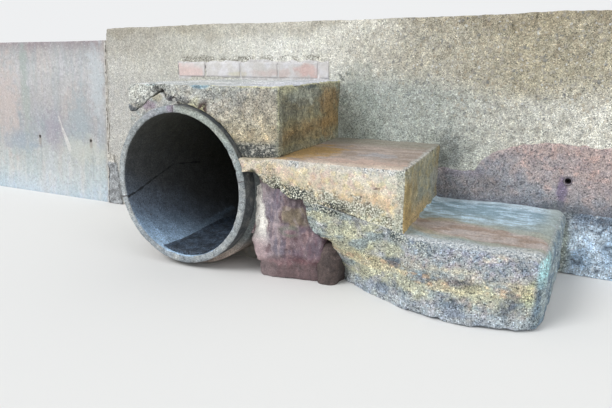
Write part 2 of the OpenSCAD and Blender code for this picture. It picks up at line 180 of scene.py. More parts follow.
def cast_box(xs, ys, zs):
    """Points of a box's six side grids, with shared edges used once, and their quads.
    The point number is (i * ny + j) * nz + k for place i, j, k along x, y, z."""
    nx, ny, nz = len(xs), len(ys), len(zs)
    parts = []
    for a, b, code, turn in (
        (ny, nz, lambda u, v: u * nz + v, True),
        (ny, nz, lambda u, v: ((nx - 1) * ny + u) * nz + v, False),
        (nx, nz, lambda u, v: u * ny * nz + v, False),
        (nx, nz, lambda u, v: (u * ny + ny - 1) * nz + v, True),
        (nx, ny, lambda u, v: (u * ny + v) * nz, True),
        (nx, ny, lambda u, v: (u * ny + v) * nz + nz - 1, False),
    ):
        ids = code(*np.meshgrid(np.arange(a), np.arange(b), indexing="ij"))
        quads = np.stack([ids[:-1, :-1], ids[1:, :-1], ids[1:, 1:], ids[:-1, 1:]], -1)
        parts.append(quads.reshape(-1, 4)[:, ::-1 if turn else 1])
    used, quads = np.unique(np.concatenate(parts), return_inverse=True)
    p = np.stack([xs[used // (ny * nz)], ys[used // nz % ny], zs[used % nz]], 1).astype(float)
    return p, quads.reshape(-1, 4), used


box, faces, _ = cast_box(steps(0, 100, 10), steps(0, 50, 10), steps(0, 20, 10))
print("a test box:", len(box), "points,", len(faces), "quads")

# %% Arrises, rounding, normals and weather
def arris_distance(p):
    """How far a point of a box's surface lies from the nearest edge: the second
    smallest of its distances to the six side planes."""
    return np.sort(np.concatenate([p - p.min(0), p.max(0) - p], 1), 1)[:, 1]


def round_arrises(p, r):
    """Rounded box: each point is moved to distance r from the box that is smaller by r,
    straight away from that smaller box's nearest point."""
    q = np.clip(p, p.min(0) + r, p.max(0) - r)
    d = p - q
    return q + d * (r / np.linalg.norm(d, axis=1, keepdims=True))


def normals(p, quads):
    """Unit normals: the cross product of each quad's diagonals, summed at its corners."""
    a = np.cross(p[quads[:, 2]] - p[quads[:, 0]], p[quads[:, 3]] - p[quads[:, 1]])
    n = np.stack([np.bincount(quads.ravel(), np.repeat(a[:, k], 4), len(p)) for k in range(3)], 1)
    return n / np.maximum(np.linalg.norm(n, axis=1, keepdims=True), 1e-9)


def weather(p, quads, layers, marks=(), n=None):
    """Moves each point along its normal by the sum of depth * noise(size), plus
    height * exp(-2 d d) for each lump or dent, d being the distance from its middle in
    its own radii. Returns the points and how far each was moved by all but the first layer."""
    n = normals(p, quads) if n is None else n
    parts = [depth * noise(p, size, seed) for size, depth, seed in layers]
    parts += [height * np.exp(-2 * (((p - c) / r) ** 2).sum(1)) for c, r, height in marks]
    return p + n * sum(parts)[:, None], sum(parts[1:])


moved, _ = weather(box, faces, [(9, 2, 3)])
print("furthest that a point of the test box moved:", round(np.abs(moved - box).max(), 2))

# %% [markdown]
# ## Putting a surface into Blender
# foreach_set hands Blender the whole array at once. Each piece also carries numbers on
# its points for the finishes: how much it faces up, how much it faces the right end, how
# near an arris it is, and how far weather has sunk or raised it.

# %% Making a piece
def place_piece(name, p, quads, finish, node, slot, **numbers):
    """A mesh object from points in millimetres beside the pipe, moved into the frame.
    What reaches under the ground is pressed flat onto it."""
    p = np.maximum(p, (-np.inf, -np.inf, 0))
    mesh = bpy.data.meshes.new(name)
    mesh.vertices.add(len(p))
    mesh.vertices.foreach_set("co", (p / 1000 + (PX, PY, 0)).astype(np.float32).ravel())
    mesh.loops.add(quads.size)
    mesh.loops.foreach_set("vertex_index", quads.astype(np.int32).ravel())
    mesh.polygons.add(len(quads))
    mesh.polygons.foreach_set("loop_start", np.arange(0, quads.size, 4, dtype=np.int32))
    mesh.update(calc_edges=True)
    mesh.shade_smooth()
    mesh.set_sharp_from_angle(angle=radians(65))
    for key, values in numbers.items():
        mesh.attributes.new(key, "FLOAT", "POINT").data.foreach_set(
            "value", values.astype(np.float32))
    mesh.materials.append(finish)
    piece = bpy.data.objects.new(name, mesh)
    bpy.context.collection.objects.link(piece)
    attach(piece, "root")
    if node:
        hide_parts(node)
    print(f"{name}: {2 * len(quads)} triangles")


def lay_of(p, quads, near):
    """What the steps' finishes read from the shape: how far it faces up and to the right
    end, and how near it is to an arris."""
    up, end = (smooth(normals(p, quads)[:, k], 0.35, 0.85) for k in (2, 0))
    return {"up": up, "end": end, "arris": np.exp(-near / 14)}

# %% [markdown]
# ## Shader maths as plain expressions
# A finish is a network of nodes. Wiring by hand hides the idea, so one small class wraps
# a socket and turns + - * / into Math nodes, and another makes every other node from its
# type, its settings and its inputs. A colour goes through Mix nodes, never through Math.

# %% Sockets with operators
class Wire:
    """An output socket that can be added, taken away, multiplied and divided."""

    def __init__(self, finish, socket):
        self.finish, self.socket = finish, socket

    def __add__(self, other):
        return self.finish.math("ADD", self, other)

    def __sub__(self, other):
        return self.finish.math("SUBTRACT", self, other)

    def __rsub__(self, other):
        return self.finish.math("SUBTRACT", other, self)

    def __mul__(self, other):
        return self.finish.math("MULTIPLY", self, other)

    def __truediv__(self, other):
        return self.finish.math("DIVIDE", self, other)

    __radd__, __rmul__ = __add__, __mul__


print("sockets can be added, taken away, multiplied and divided")

# %% Nodes, noise and numbers
class Network:
    """One material's nodes. at is the point in metres from the pipe's axis, the wall's
    foot and the ground, read from Object coordinates; x, y, z are its parts."""

    def __init__(self, name):
        self.material = bpy.data.materials.new(name)
        self.material.use_nodes = True
        self.tree = self.material.node_tree
        self.tree.nodes.clear()
        self.output = self.tree.nodes.new("ShaderNodeOutputMaterial")
        spot = self.node("ShaderNodeTexCoord", out="Object")
        self.at = self.vector("SUBTRACT", spot, (PX, PY, 0))
        self.x, self.y, self.z = (
            self.node("ShaderNodeSeparateXYZ", {}, self.at, out=k) for k in range(3))
        self.ragged = self.noise(0.05, detail=4) - 0.5

    def node(self, kind, settings=None, *values, out=0, **named):
        """A node of that kind: settings first, then inputs by order or by name."""
        n = self.tree.nodes.new(kind)
        for key, value in (settings or {}).items():
            setattr(n, key, value)
        for key, value in [*enumerate(values), *named.items()]:
            socket = n.inputs[key.replace("_", " ") if isinstance(key, str) else key]
            if isinstance(value, Wire):
                self.tree.links.new(value.socket, socket)
            elif hasattr(socket.default_value, "__len__"):
                socket.default_value = (*value, 1)[:len(socket.default_value)]
            else:
                socket.default_value = value
        return Wire(self, n.outputs[out])

    def math(self, operation, *values):
        """A Math node, for numbers."""
        return self.node("ShaderNodeMath", {"operation": operation}, *values)

    def vector(self, operation, *values, out=0):
        """A Vector Math node, for points."""
        return self.node("ShaderNodeVectorMath", {"operation": operation}, *values, out=out)

    def noise(self, size, detail, stretch=(1, 1, 1), shift=0):
        """Noise from 0 to 1 with blotches of that size in metres, stretched along x, y, z."""
        at = self.at
        if shift or stretch != (1, 1, 1):
            at = self.vector("MULTIPLY_ADD", at, [1 / s for s in stretch], [shift] * 3)
        return self.node("ShaderNodeTexNoise", {}, Vector=at, Scale=1 / size, Detail=detail)

    def swirled(self, scale, reach):
        """The point, pushed about by a coloured noise of that scale, up to reach metres."""
        swirl = self.node(
            "ShaderNodeTexNoise", {}, Vector=self.at, Scale=scale, Detail=2, out="Color")
        return self.vector("MULTIPLY_ADD", swirl, [reach] * 3, self.at)

    def radius(self):
        """Distance from the pipe's axis in metres."""
        flat = self.node("ShaderNodeCombineXYZ", {}, self.x, 0, self.z - AXIS / 1000)
        return self.vector("LENGTH", flat, out="Value")

    def smooth(self, value, lo, hi):
        """0 below lo and 1 above hi, smooth between; the other way round if hi is less."""
        if hi < lo:
            return 1 - self.smooth(value, hi, lo)
        return self.node("ShaderNodeMapRange", {"interpolation_type": "SMOOTHSTEP"}, value, lo, hi)

    def attribute(self, name):
        """A number that the piece carries on its points."""
        return self.node("ShaderNodeAttribute", {"attribute_name": name}, out="Fac")

    def edge(self, value, wander, reach, lo, hi):
        """Like smooth, with an edge that wanders by a noise from 0 to 1 times reach."""
        return self.smooth(value + (wander - 0.5) * reach, lo, hi)


print("number nodes ready")

# %% [markdown]
# ## Tones laid over each other
# A stain has a place, a shape and a ragged edge. Each is a mask from 0 to 1, and a Mix
# node lays a tone over the colour so far where the mask is 1. Spots and lines are such
# masks, placed in millimetres as read from the photo. Their edges wander by a noise,
# because a clean oval on concrete looks painted.

# %% Tones, spots and lines
class Finish(Network):
    """A material that is built up as layers of colour."""

    def mix(self, mask, a, b, blend="MIX"):
        """Colour a where mask is 0 and b where it is 1."""
        n = self.node("ShaderNodeMix", {"data_type": "RGBA", "blend_type": blend}, out=2)
        for key, value in ((0, mask), (6, a), (7, b)):
            socket = n.socket.node.inputs[key]
            if isinstance(value, Wire):
                self.tree.links.new(value.socket, socket)
            else:
                socket.default_value = value if key == 0 else (*value, 1)
        return n

    def ramp(self, value, *stops, hard=False):
        """Colours along a value, from (place, colour) pairs in the value's own units."""
        lo, hi = stops[0][0], stops[-1][0]
        n = self.node("ShaderNodeValToRGB", {}, (value - lo) / (hi - lo))
        bar = n.socket.node.color_ramp
        bar.interpolation = "CONSTANT" if hard else "LINEAR"
        while len(bar.elements) < len(stops):
            bar.elements.new(0.5)
        for element, (place, colour) in zip(bar.elements, stops):
            element.position = (place - lo) / (hi - lo)
            element.color = (*(colour if hasattr(colour, "__len__") else [colour] * 3), 1)
        return n

    def tones(self, value, lo, hi, a, b):
        """Tone a where the value is under lo and b where it is over hi."""
        return self.mix(self.smooth(value, lo, hi), a, b)

    def layers(self, colour, *rows):
        """Lays tones over the colour in turn. Each row is a mask, a tone and a blend."""
        for mask, tone, *blend in rows:
            colour = self.mix(mask, colour, tone, *blend)
        return colour

    def spot(self, centre, radii, rag=0.5, soft=0.4):
        """1 inside an egg shape given in millimetres, 0 outside, with a ragged edge."""
        inner = self.vector("SUBTRACT", self.at, [c / 1000 for c in centre])
        inner = self.vector("MULTIPLY", inner, [1000 / r for r in radii])
        far = self.vector("LENGTH", inner, out="Value") + self.ragged * (4 * rag)
        return self.smooth(far, 1 + soft, 1 - soft)

    def line(self, a, b, width, rag):
        """1 within width of the straight line from a to b, in millimetres, wandering by rag."""
        a, b = np.array(a) / 1000, np.array(b) / 1000
        along = self.vector("SUBTRACT", self.at, a)
        t = self.vector("DOT_PRODUCT", along, (b - a) / ((b - a) @ (b - a)), out="Value")
        t = self.node("ShaderNodeClamp", {}, t, 0.0, 1.0)
        foot = self.node("ShaderNodeCombineXYZ", {}, t, t, t)
        off = self.vector("SUBTRACT", along, self.vector("MULTIPLY", foot, b - a))
        far = self.vector("LENGTH", off, out="Value") + self.ragged * (rag / 250)
        return self.smooth(far, width * 0.0013, width * 0.0006)

    def pebbles(self, size, at, cluster, *tones):
        """Stones in mortar: each cell of a Voronoi pattern picks a tone by its own random
        number, plus the cluster value. Returns the tone, how far into the stone a point
        is, and the number."""
        cell = self.node("ShaderNodeTexVoronoi", {}, Vector=at, Scale=1 / size)
        colour = Wire(self, cell.socket.node.outputs["Color"])
        pick = self.node("ShaderNodeSeparateColor", {}, colour) + cluster
        return self.ramp(pick, *tones, hard=True), self.smooth(cell, 0.5, 0.3), pick

    def finish(self, colour, roughness, height, depth):
        """Base colour, roughness and a bump of that depth in metres."""
        bump = self.node("ShaderNodeBump", {}, 0.7, depth, Height=height)
        shader = self.node(
            "ShaderNodeBsdfPrincipled", {}, Base_Color=colour, Roughness=roughness, Normal=bump)
        shader.socket.node.inputs["Specular IOR Level"].default_value = 0.35
        self.tree.links.new(shader.socket, self.output.inputs[0])
        print(f"{self.material.name}: {len(self.tree.nodes)} nodes")
        return self.material


print("tone helpers ready")

# %% [markdown]
# ## Speckled concrete
# Rain and frost wash the cement skin away and leave the sand and gravel standing out, in
# dark flint, pale quartz and tan stones. Two Voronoi patterns, one of gravel and one of
# sand, multiply the stain colour, so one recipe serves every cast piece.

# %% Speckle recipe
def speckle(f, colour, size, amount, dark=0.16, pale=0.14, clumps=1):
    """The colour multiplied by a tone per stone: dark for about that share of stones,
    white for that share, and near 1 for the rest, dark and pale stones lying in clusters,
    with dark grime and pale lichen in small clumps. Gives the colour and a bump height."""
    at = f.swirled(0.9 / size, size * 1.3)
    cluster = (f.noise(size * 7, 3, shift=5.0) - 0.5) * clumps
    gravel, inside, _ = f.pebbles(
        size, at, cluster,
        (0, (0.07, 0.08, 0.09)), (dark, (0.3, 0.3, 0.29)), (dark + 0.12, (0.45, 0.44, 0.42)),
        (0.5, (0.54, 0.53, 0.51)), (0.72, (0.63, 0.61, 0.57)), (1 - pale, 0.95), (1, 1))
    sand, grain, _ = f.pebbles(
        size * 0.55, at, cluster,
        (0, 0.14), (0.14, 0.34), (0.4, 0.46), (0.7, (0.58, 0.57, 0.56)), (0.9, 0.88), (1, 1))
    tone = f.mix(inside, sand, gravel)
    clump = f.noise(size * 2.5, 3, shift=8.0)
    tone = f.layers(tone,
        (f.smooth(clump, 0.59, 0.66) * (0.7 * clumps), (0.15, 0.16, 0.17)),
        (f.smooth(clump, 0.39, 0.33) * (0.6 * clumps), (0.85, 0.85, 0.83)))
    tone = f.mix(amount, (0.5, 0.5, 0.5), tone)
    twice = f.vector("SCALE", tone)
    twice.socket.node.inputs["Scale"].default_value = 2
    height = inside * 0.7 + grain * 0.3
    return f.mix(1.0, colour, twice, "MULTIPLY"), height


def mottle(f, colour, tones, size, stretch=(1, 1, 1)):
    """The colour multiplied by each tone in turn, in blotches from a noise of its own."""
    for k, tone in enumerate(tones):
        n = f.noise(size, 4, stretch=stretch, shift=3.7 * k + 1.3)
        colour = f.mix(f.smooth(n, 0.5, 0.62), colour, tone, "MULTIPLY")
    return colour


print("speckle recipe ready")

# %% [markdown]
# ## Left bay of the wall
# The left bay was poured later than the rest, against smooth boards. It is pale grey with
# long vertical stains, form tie holes and one scar. Its block leans back with height:
# y grows by the lean for each millimetre up.

# %% Finish of the left bay
def left_bay_finish():
    """Smooth grey in level bands, with long stains, a scar and the tie holes' shadows."""
    f = Finish("smooth_concrete")
    cloud, streak = f.noise(0.22, 4, shift=1.0), f.noise(0.1, 4, stretch=(1, 1, 4))
    fine, grit = f.noise(0.03, 4), f.noise(0.01, 3)
    z = f.z + (cloud - 0.5) * 0.16
    c = f.ramp(
        z, (0, (0.52, 0.6, 0.66)), (0.15, (0.52, 0.56, 0.56)), (0.3, (0.46, 0.48, 0.47)),
        (0.42, (0.37, 0.39, 0.41)), (0.6, (0.43, 0.42, 0.42)), (0.8, (0.5, 0.5, 0.5)),
        (0.91, (0.43, 0.42, 0.42)), (0.97, (0.31, 0.27, 0.28)))
    c = mottle(
        f, c, [(1.06, 1.01, 0.98), (0.9, 0.94, 0.95), (1.03, 1.03, 1.06)], 0.06, stretch=(1, 1, 5))
    c = mottle(f, c, [(0.89, 0.9, 0.9), (1.1, 1.1, 1.1), (0.96, 0.94, 0.97)], 0.02)
    c = f.mix(f.smooth(streak, 0.54, 0.7) * 0.3, c, (0.36, 0.38, 0.38))
    for centre, radii, tone in (
            ((-2090, 40, 560), (120, 99, 260), (0.56, 0.47, 0.43)),
            ((-1900, 45, 650), (34, 99, 330), (0.34, 0.4, 0.37)),
            ((-1400, 34, 480), (70, 99, 190), (0.34, 0.4, 0.43)),
            ((-1979, 24, 330), (150, 99, 60), (0.28, 0.34, 0.41)),
            ((-1640, 24, 410), (90, 99, 110), (0.34, 0.31, 0.36)),
            ((-1240, 30, 740), (60, 99, 220), (0.52, 0.57, 0.6)),
            ((-1360, 30, 300), (150, 99, 80), (0.54, 0.55, 0.49)),
    ):
        c = f.mix(f.spot(centre, radii, 0.8, 0.6) * 0.6, c, tone)
    c = f.mix(f.line((-2300, 22, 345), (-1620, 22, 349), 2, 3) * 0.35, c, (0.26, 0.28, 0.3))
    for a, b, width in (
            ((-1590, 35, 510), (-1556, 28, 430), 5),
            ((-1556, 28, 430), (-1522, 24, 365), 10),
            ((-1530, 24, 375), (-1499, 20, 306), 16),
    ):
        c = f.mix(f.line(a, b, width, 7) * 0.55, c, (0.7, 0.68, 0.65))
    for x in TIES:
        c = f.layers(c,
            (f.spot((x, 25, 352), (14, 60, 34)) * 0.6, (0.3, 0.26, 0.22)),
            (f.spot((x + 12, 20, 250), (9, 60, 90), 0.5) * 0.3, (0.26, 0.27, 0.28)),
            (f.spot((x, 25, TIE_Z), (9, 60, 9), 0.1), (0.05, 0.045, 0.04)))
    c = f.layers(c,
        (f.edge(f.x, fine, 0.05, -1.2, -1.165) * 0.5, (0.4, 0.38, 0.35)),
        (f.smooth(grit, 0.58, 0.67) * 0.5, (0.26, 0.25, 0.25)),
        (f.smooth(grit, 0.42, 0.34) * 0.35, (0.74, 0.74, 0.74)))
    return f.finish(c, 0.62 + streak * 0.25, grit * -0.5 + fine, 0.0015)


left_finish = left_bay_finish()

# %% Left bay
def lean(p):
    """Leans a piece with the wall: the front runs back with height, the back is upright."""
    p[:, 1] += LEAN * p[:, 2] * (1 - p[:, 1] / THICK)


p, quads, _ = cast_box(
    steps(-2700, -1167, 10, TIES), steps(0, THICK, 50), steps(0, LEFT_H, 10, (TIE_Z,)))
near = arris_distance(p)
p = round_arrises(p, 5)
lean(p)
chips = smooth(noise(p, 28, 5), 0.1, 0.7) * np.exp(-near / 9) * smooth(p[:, 0], -1300, -1170)
p, _ = weather(p, quads, [(500, 2.5, 1), (60, 0.5, 2), (16, 0.4, 3)])
p[:, 1] += 7 * chips * (p[:, 1] < THICK / 2)
for x in TIES:
    p[:, 1] += 42 * (np.hypot(p[:, 0] - x, p[:, 2] - TIE_Z) < 9) * (p[:, 1] < 100)
place_piece("left_bay", p, quads, left_finish, "left_wall_bay", "smooth_concrete")

# %% [markdown]
# ## Main bay, lower lift
# Tall walls are poured in lifts. The lower lift has washed out to a grey-green gravel
# surface, greener near the steps. The pipe and the weep hole pass through it: the grid's
# quads inside each circle are left out, their rim is pulled onto the circle, and the
# front rim is joined to the back one. A Boolean would do it too, but slower.

# %% Round holes through a grid
def drill(p, quads, used, nz, x, z, radius):
    """Leaves out the quads whose middle is nearer than radius to the hole's axis, moves
    the rim onto the circle, and joins front and back rims. The block is one cell deep,
    so the point straight behind number n is number n + nz."""
    middle = p[quads].mean(1)
    # At the ground the circle cuts the lowest row across: no sliver of it may stay.
    middle[:, 2] = np.maximum(middle[:, 2], np.unique(p[:, 2])[1] / 2)
    quads = quads[np.hypot(middle[:, 0] - x, middle[:, 2] - z) > radius]
    edges = np.concatenate([quads[:, [0, 1]], quads[:, [1, 2]], quads[:, [2, 3]], quads[:, [3, 0]]])
    open_edge = ~np.isin(edges[:, 0] * len(p) + edges[:, 1], edges[:, 1] * len(p) + edges[:, 0])
    rim = np.unique(edges[open_edge])
    away = p[rim][:, [0, 2]] - (x, z)
    away *= radius / np.linalg.norm(away, axis=1, keepdims=True)
    p[rim, 0], p[rim, 2] = x + away[:, 0], np.maximum(z + away[:, 1], 0)
    a, b = edges[open_edge & (used[edges] // nz % 2 == 0).all(1)].T
    behind = np.searchsorted(used, used + nz)
    return p, np.concatenate([quads, np.stack([b, a, behind[a], behind[b]], 1)])


plate = cast_box(steps(0, 100, 5), np.array([0, 20]), steps(0, 100, 5))
_, drilled = drill(*plate, 21, 50, 50, 20)
print("quads of a test plate, whole and drilled:", len(plate[1]), len(drilled))

# %% Stains of both lifts
def lift_stains(f, x, z, broad):
    """Buff at the top and grey-green below, browner to the right."""
    top = f.ramp(
        x, (-1.15, (0.64, 0.63, 0.6)), (-0.6, (0.62, 0.61, 0.55)), (0, (0.88, 0.88, 0.83)),
        (0.45, (0.78, 0.77, 0.7)), (0.8, (0.58, 0.56, 0.48)), (1.2, (0.495, 0.455, 0.345)),
        (1.6, (0.48, 0.445, 0.345)))
    mid = f.ramp(
        x, (-1.15, (0.59, 0.58, 0.56)), (-0.7, (0.61, 0.61, 0.57)), (0.2, (0.6, 0.62, 0.57)),
        (0.5, (0.5, 0.555, 0.535)), (0.8, (0.5, 0.54, 0.51)), (1.2, (0.65, 0.65, 0.595)),
        (1.6, (0.84, 0.83, 0.76)))
    c = f.mix(f.smooth(z, 0.66, 0.86), mid, top)
    c = f.layers(c,
        (f.smooth(z, 0.45, 0.25) * 0.4, (0.58, 0.57, 0.53)),
        (f.spot((480, 40, 600), (110, 120, 200)) * 0.5, (0.28, 0.33, 0.3)),
        (f.spot((915, 30, 450), (70, 90, 70), 0.9, 0.7) * 0.7, (0.17, 0.19, 0.19)),
        (f.smooth(z, 0.97, 1.03) * 0.45, (0.34, 0.29, 0.2)),
        (f.smooth(z, 0.84, 0.93) * f.smooth(f.x, -0.6, -0.85) * 0.45, (0.4, 0.37, 0.31)))
    c = mottle(
        f, c, [(0.94, 0.93, 0.92), (1.05, 1.05, 1.03), (0.95, 0.96, 0.96)], 0.03, stretch=(1, 1, 2))
    edge = f.smooth(f.x, -1.12, -1.155) * f.smooth(broad, 0.3, 0.6)
    return f.mix(edge * 0.3, c, (0.36, 0.34, 0.3))


def gap_shade_and_spot(f, c):
    """A broken band of painted shade in the gap over the bricks, and a dark spot right of them."""
    fine = f.noise(0.03, 4)
    edge = f.z + (fine - 0.5) * 0.03
    # gap: painted shade in the broken gap over the bricks.
    gap = f.smooth(edge, 0.842, 0.848) * f.smooth(edge, 0.886, 0.87)
    gap = gap * f.smooth(f.x, -0.6, -0.55) * f.smooth(f.x, 0.32, 0.24)
    gap = gap * f.smooth(f.noise(0.006, 3), 0.47, 0.52) * f.smooth(f.y, 0.15, 0.12)
    gap = gap * f.smooth(f.noise(0.06, 3, shift=4.0), 0.34, 0.5)
    spot = f.spot((400, 50, 778), (30, 90, 24), 0.5) * f.smooth(fine, 0.56, 0.46)
    return f.layers(c, (gap * 0.8, (0.17, 0.16, 0.12)), (spot * 0.8, (0.12, 0.15, 0.14)))


print("stains of both lifts ready")

# %% Finish of both lifts
def wall_finish(name, band):
    """Stained concrete, coarser to the right, with speckle and large flat stones; band
    lays the painted shade in the gap over the bricks, and a dark spot right of them."""
    f = Finish(name)
    broad = f.noise(0.35, 4)
    x = f.x + (broad - 0.5) * 0.5
    z = f.z + (f.noise(0.22, 4, stretch=(2, 1, 1), shift=2.0) - 0.5) * 0.25
    c = lift_stains(f, x, z, broad)
    if band:
        c = gap_shade_and_spot(f, c)
    coarse = f.edge(f.x + f.z * 0.4, broad, 0.4, 0.3, 1.3)
    c = f.mix(coarse * 0.9, c, mottle(f, c, [(0.76, 0.75, 0.74), (1.22, 1.21, 1.19)], 0.03))
    c = f.mix(
        f.smooth(coarse, 0.6, 0.2), c,
        mottle(f, c, [(0.84, 0.84, 0.83), (1.15, 1.15, 1.14)], 0.011))
    gritty = f.math("MAXIMUM", coarse, f.spot((560, 40, 600), (330, 120, 150)))
    c, height = speckle(f, c, 0.0044, gritty * 0.45 + 0.62, clumps=0.3)
    stone, at = 0.017, f.swirled(80, 0.02)
    tone, _, pick = f.pebbles(
        stone, at, 0,
        (0, (0.16, 0.18, 0.21)), (0.1, (0.34, 0.32, 0.3)), (0.26, (0.48, 0.4, 0.29)),
        (0.5, (0.6, 0.58, 0.53)), (0.8, (0.82, 0.85, 0.88)), (1, 1))
    far = f.node("ShaderNodeTexVoronoi", {}, Vector=at, Scale=1 / stone) + pick * 0.2
    big = f.smooth(far, 0.5, 0.38)
    c = f.mix(big * coarse * f.smooth(z, 0.45, 0.75) * 0.55, c, tone)
    return f.finish(c, 0.75 + broad * 0.2, height + big * coarse, 0.003)


lower_finish = wall_finish("aggregate_lower", False)

# %% Lower lift
GRAVEL = [(450, 3, 11), (70, 1.2, 12), (20, 1.4, 13)]  # size, depth and seed of each noise
GRID = 8.4
HOLE = 0, AXIS, BARREL + 18  # x, height and radius of the hole round the pipe
xs, zs = steps(BAY_LEFT, BAY_RIGHT, GRID, WEEP[:1]), steps(0, TOP, GRID, WEEP[1:2])
p, quads, used = cast_box(xs, np.array([0, THICK]), zs)
for hole in (HOLE, WEEP):
    p, quads = drill(p, quads, used, len(zs), *hole)
lean(p)
near = np.minimum(p[:, 0] - BAY_LEFT, 99)
out = np.where(p[:, 1:2] < THICK / 2, (0, -1, LEAN), (0, 1, 0))
p, _ = weather(p, quads, GRAVEL, n=out)
p[:, 1] += (p[:, 1] < THICK / 2) * 8 * np.exp(-near / 8) * smooth(noise(p, 40, 5), 0.1, 0.8)
place_piece("lower_lift", p, quads, lower_finish, "main_wall_lower_lift", "aggregate_lower")

# %% [markdown]
# ## Main bay, upper lift
# The upper lift was poured on the lower one. Both have the same gravel and have weathered
# as one, so they share one recipe, and their front surfaces carry on from each other.

# %% Finish of the upper lift
upper_finish = wall_finish("aggregate_upper", True)

# %% Upper lift
p, quads, _ = cast_box(
    steps(BAY_LEFT, BAY_RIGHT, GRID), steps(0, THICK, 20), steps(TOP, WALL_H, GRID))
near = arris_distance(p)
p = np.where(p[:, 2:] > TOP + 60, round_arrises(p, 4), p)
worn = smooth(noise(p, 60, 21), 0, 0.8) * np.exp(-near / 16) * (p[:, 2] > 900)
lean(p)
out = np.where((p[:, 1:2] < 80) & (p[:, 2:] < WALL_H - 30), (0, -1, LEAN), normals(p, quads))
p, _ = weather(p, quads, GRAVEL, n=out)
p[:, 2] -= 10 * worn
p[:, 1] += (p[:, 1] < THICK / 2) * 8 * worn
place_piece("upper_lift", p, quads, upper_finish, "main_wall_upper_lift", "aggregate_upper")

# %% [markdown]
# ## The joint between the bays
# Two pours a few years apart leave a joint. Its pale filler has cracked down the middle,
# and at its foot the corner broke off and was patched with lumps of mortar.

# %% Lumps of mortar
def lump_finish(name, colour, dark, size=0.012, amount=0.6, roughness=0.85):
    """Plain rough mortar: a colour, darker in its hollows, with fine speckle."""
    f = Finish(name)
    blotch = f.noise(0.03, 4)
    c = f.tones(blotch, 0.4, 0.65, colour, dark)
    c = f.mix(f.smooth(f.attribute("relief"), -0.2, -2.5) * 0.7, c, [v * 0.4 for v in dark])
    c, height = speckle(f, c, size, amount)
    return f.finish(c, roughness, height + blotch, 0.003)


def mortar_block(name, xs, ys, zs, bend, r, layers, finish, node, slot, marks=()):
    """A cast box, rounded by r, bent by a function of its x, y, z arrays, and weathered."""
    p, quads, _ = cast_box(xs, ys, zs)
    p = np.stack(bend(*round_arrises(p, r).T), 1)
    p, relief = weather(p, quads, layers, marks)
    place_piece(name, p, quads, finish, node, slot, relief=relief)


print("mortar helpers ready")

# %% Joint filler
def filler_look():
    """Pale mortar with a broken dark crack down its middle."""
    f = Finish("joint_filler")
    fine, breaks = f.noise(0.02, 4), f.noise(0.06, 3)
    off = f.math("ABSOLUTE", f.x + 1.16 + (fine - 0.5) * 0.016)
    open_part = f.math("MAXIMUM", f.smooth(breaks, 0.38, 0.46), f.smooth(f.z, 0.34, 0.3) * 0.8)
    c = f.tones(fine, 0.4, 0.6, (0.64, 0.62, 0.58), (0.49, 0.46, 0.41))
    c = f.mix(f.smooth(off, 0.0034, 0.0014) * open_part * 0.9, c, (0.05, 0.048, 0.045))
    return f.finish(c, 0.85, fine, 0.004)


def joint_bend(x, y, z):
    """The mortar leans with the wall, and a 5 mm deep crack wanders down its middle."""
    off = x + 1160 + 3.5 * noise(np.stack([z * 0, z * 0, z], 1), 50, 31)
    groove = np.where(y < 50, 5 * np.exp(-(off / 1.5) ** 2), 0)
    return x, y + groove + LEAN * z * (1 - y / THICK), z


mortar_block(
    "joint_strip", steps(-1169, -1151, 1.8), steps(-1, 298, 60), steps(0, LEFT_H, 6), joint_bend, 1,
    [(60, 1, 31), (14, 1, 32)], filler_look(), "bay_joint_filler", "joint_filler")

# %% Foot patch
def patch_look():
    """Brown-grey mortar, pale in the lump at its top and dark along the joint."""
    f = Finish("patch_mortar")
    blotch, fine = f.noise(0.03, 4), f.noise(0.015, 4)
    c = f.tones(blotch, 0.42, 0.6, (0.43, 0.45, 0.47), (0.27, 0.28, 0.29))
    c = f.layers(c,
        (
            f.edge(f.z, blotch, 0.03, 0.245, 0.268) * f.smooth(f.y, 0.1, 0.05) * 0.8,
            (0.68, 0.65, 0.58)),
        (
            f.edge(f.x, fine, 0.02, -1.146, -1.154) * f.smooth(f.z, 0.25, 0.23) * 0.9,
            (0.05, 0.05, 0.05)))
    c, height = speckle(f, c, 0.007, 0.6)
    return f.finish(c, 0.9, height + blotch, 0.003)


def patch_bend(x, y, z):
    """The patch narrows with height, from 100 mm at the ground to 34 mm at its top."""
    reach = np.interp(z, [0, 120, 230, 292], [1, 0.86, 0.62, 0.42])
    return -1158 + (x + 1158) * reach, y + LEAN * z, z


mortar_block(
    "foot_patch", steps(-1158, -1048, 5), steps(-13, 20, 8), steps(0, 300, 5), patch_bend, 8,
    [(60, 5, 33), (22, 4, 34), (10, 2, 35)], patch_look(), "joint_foot_patch", "patch_mortar",
    [((-1146, 5, 284), (26, 26, 16), 9)])

# %% [markdown]
# ## The pipe
# The pipe is spun concrete with a rebated spigot that once fitted the next pipe's socket.
# Lathe work is the natural way: a closed outline of radius and depth is carried round the
# axis. The rebate and the shoulder carry painted shade, the mouth is pale and cracked, and
# the bore carries painted light and shade and a bed of silt.

# %% Outlines turned round the pipe's axis
def along_outline(corners, size):
    """Points along a closed outline, every corner kept, at about the given spacing in
    front, where it shows, and 2.5 times that behind."""
    out = []
    for a, b in zip(corners, corners[1:] + corners[:1]):
        step = size if a[1] < -600 and b[1] < -600 else 2.5 * size
        n = max(1, round(np.hypot(b[0] - a[0], b[1] - a[1]) / step))
        out += [np.array(a) + (np.array(b) - a) * k / n for k in range(n)]
    return np.array(out)


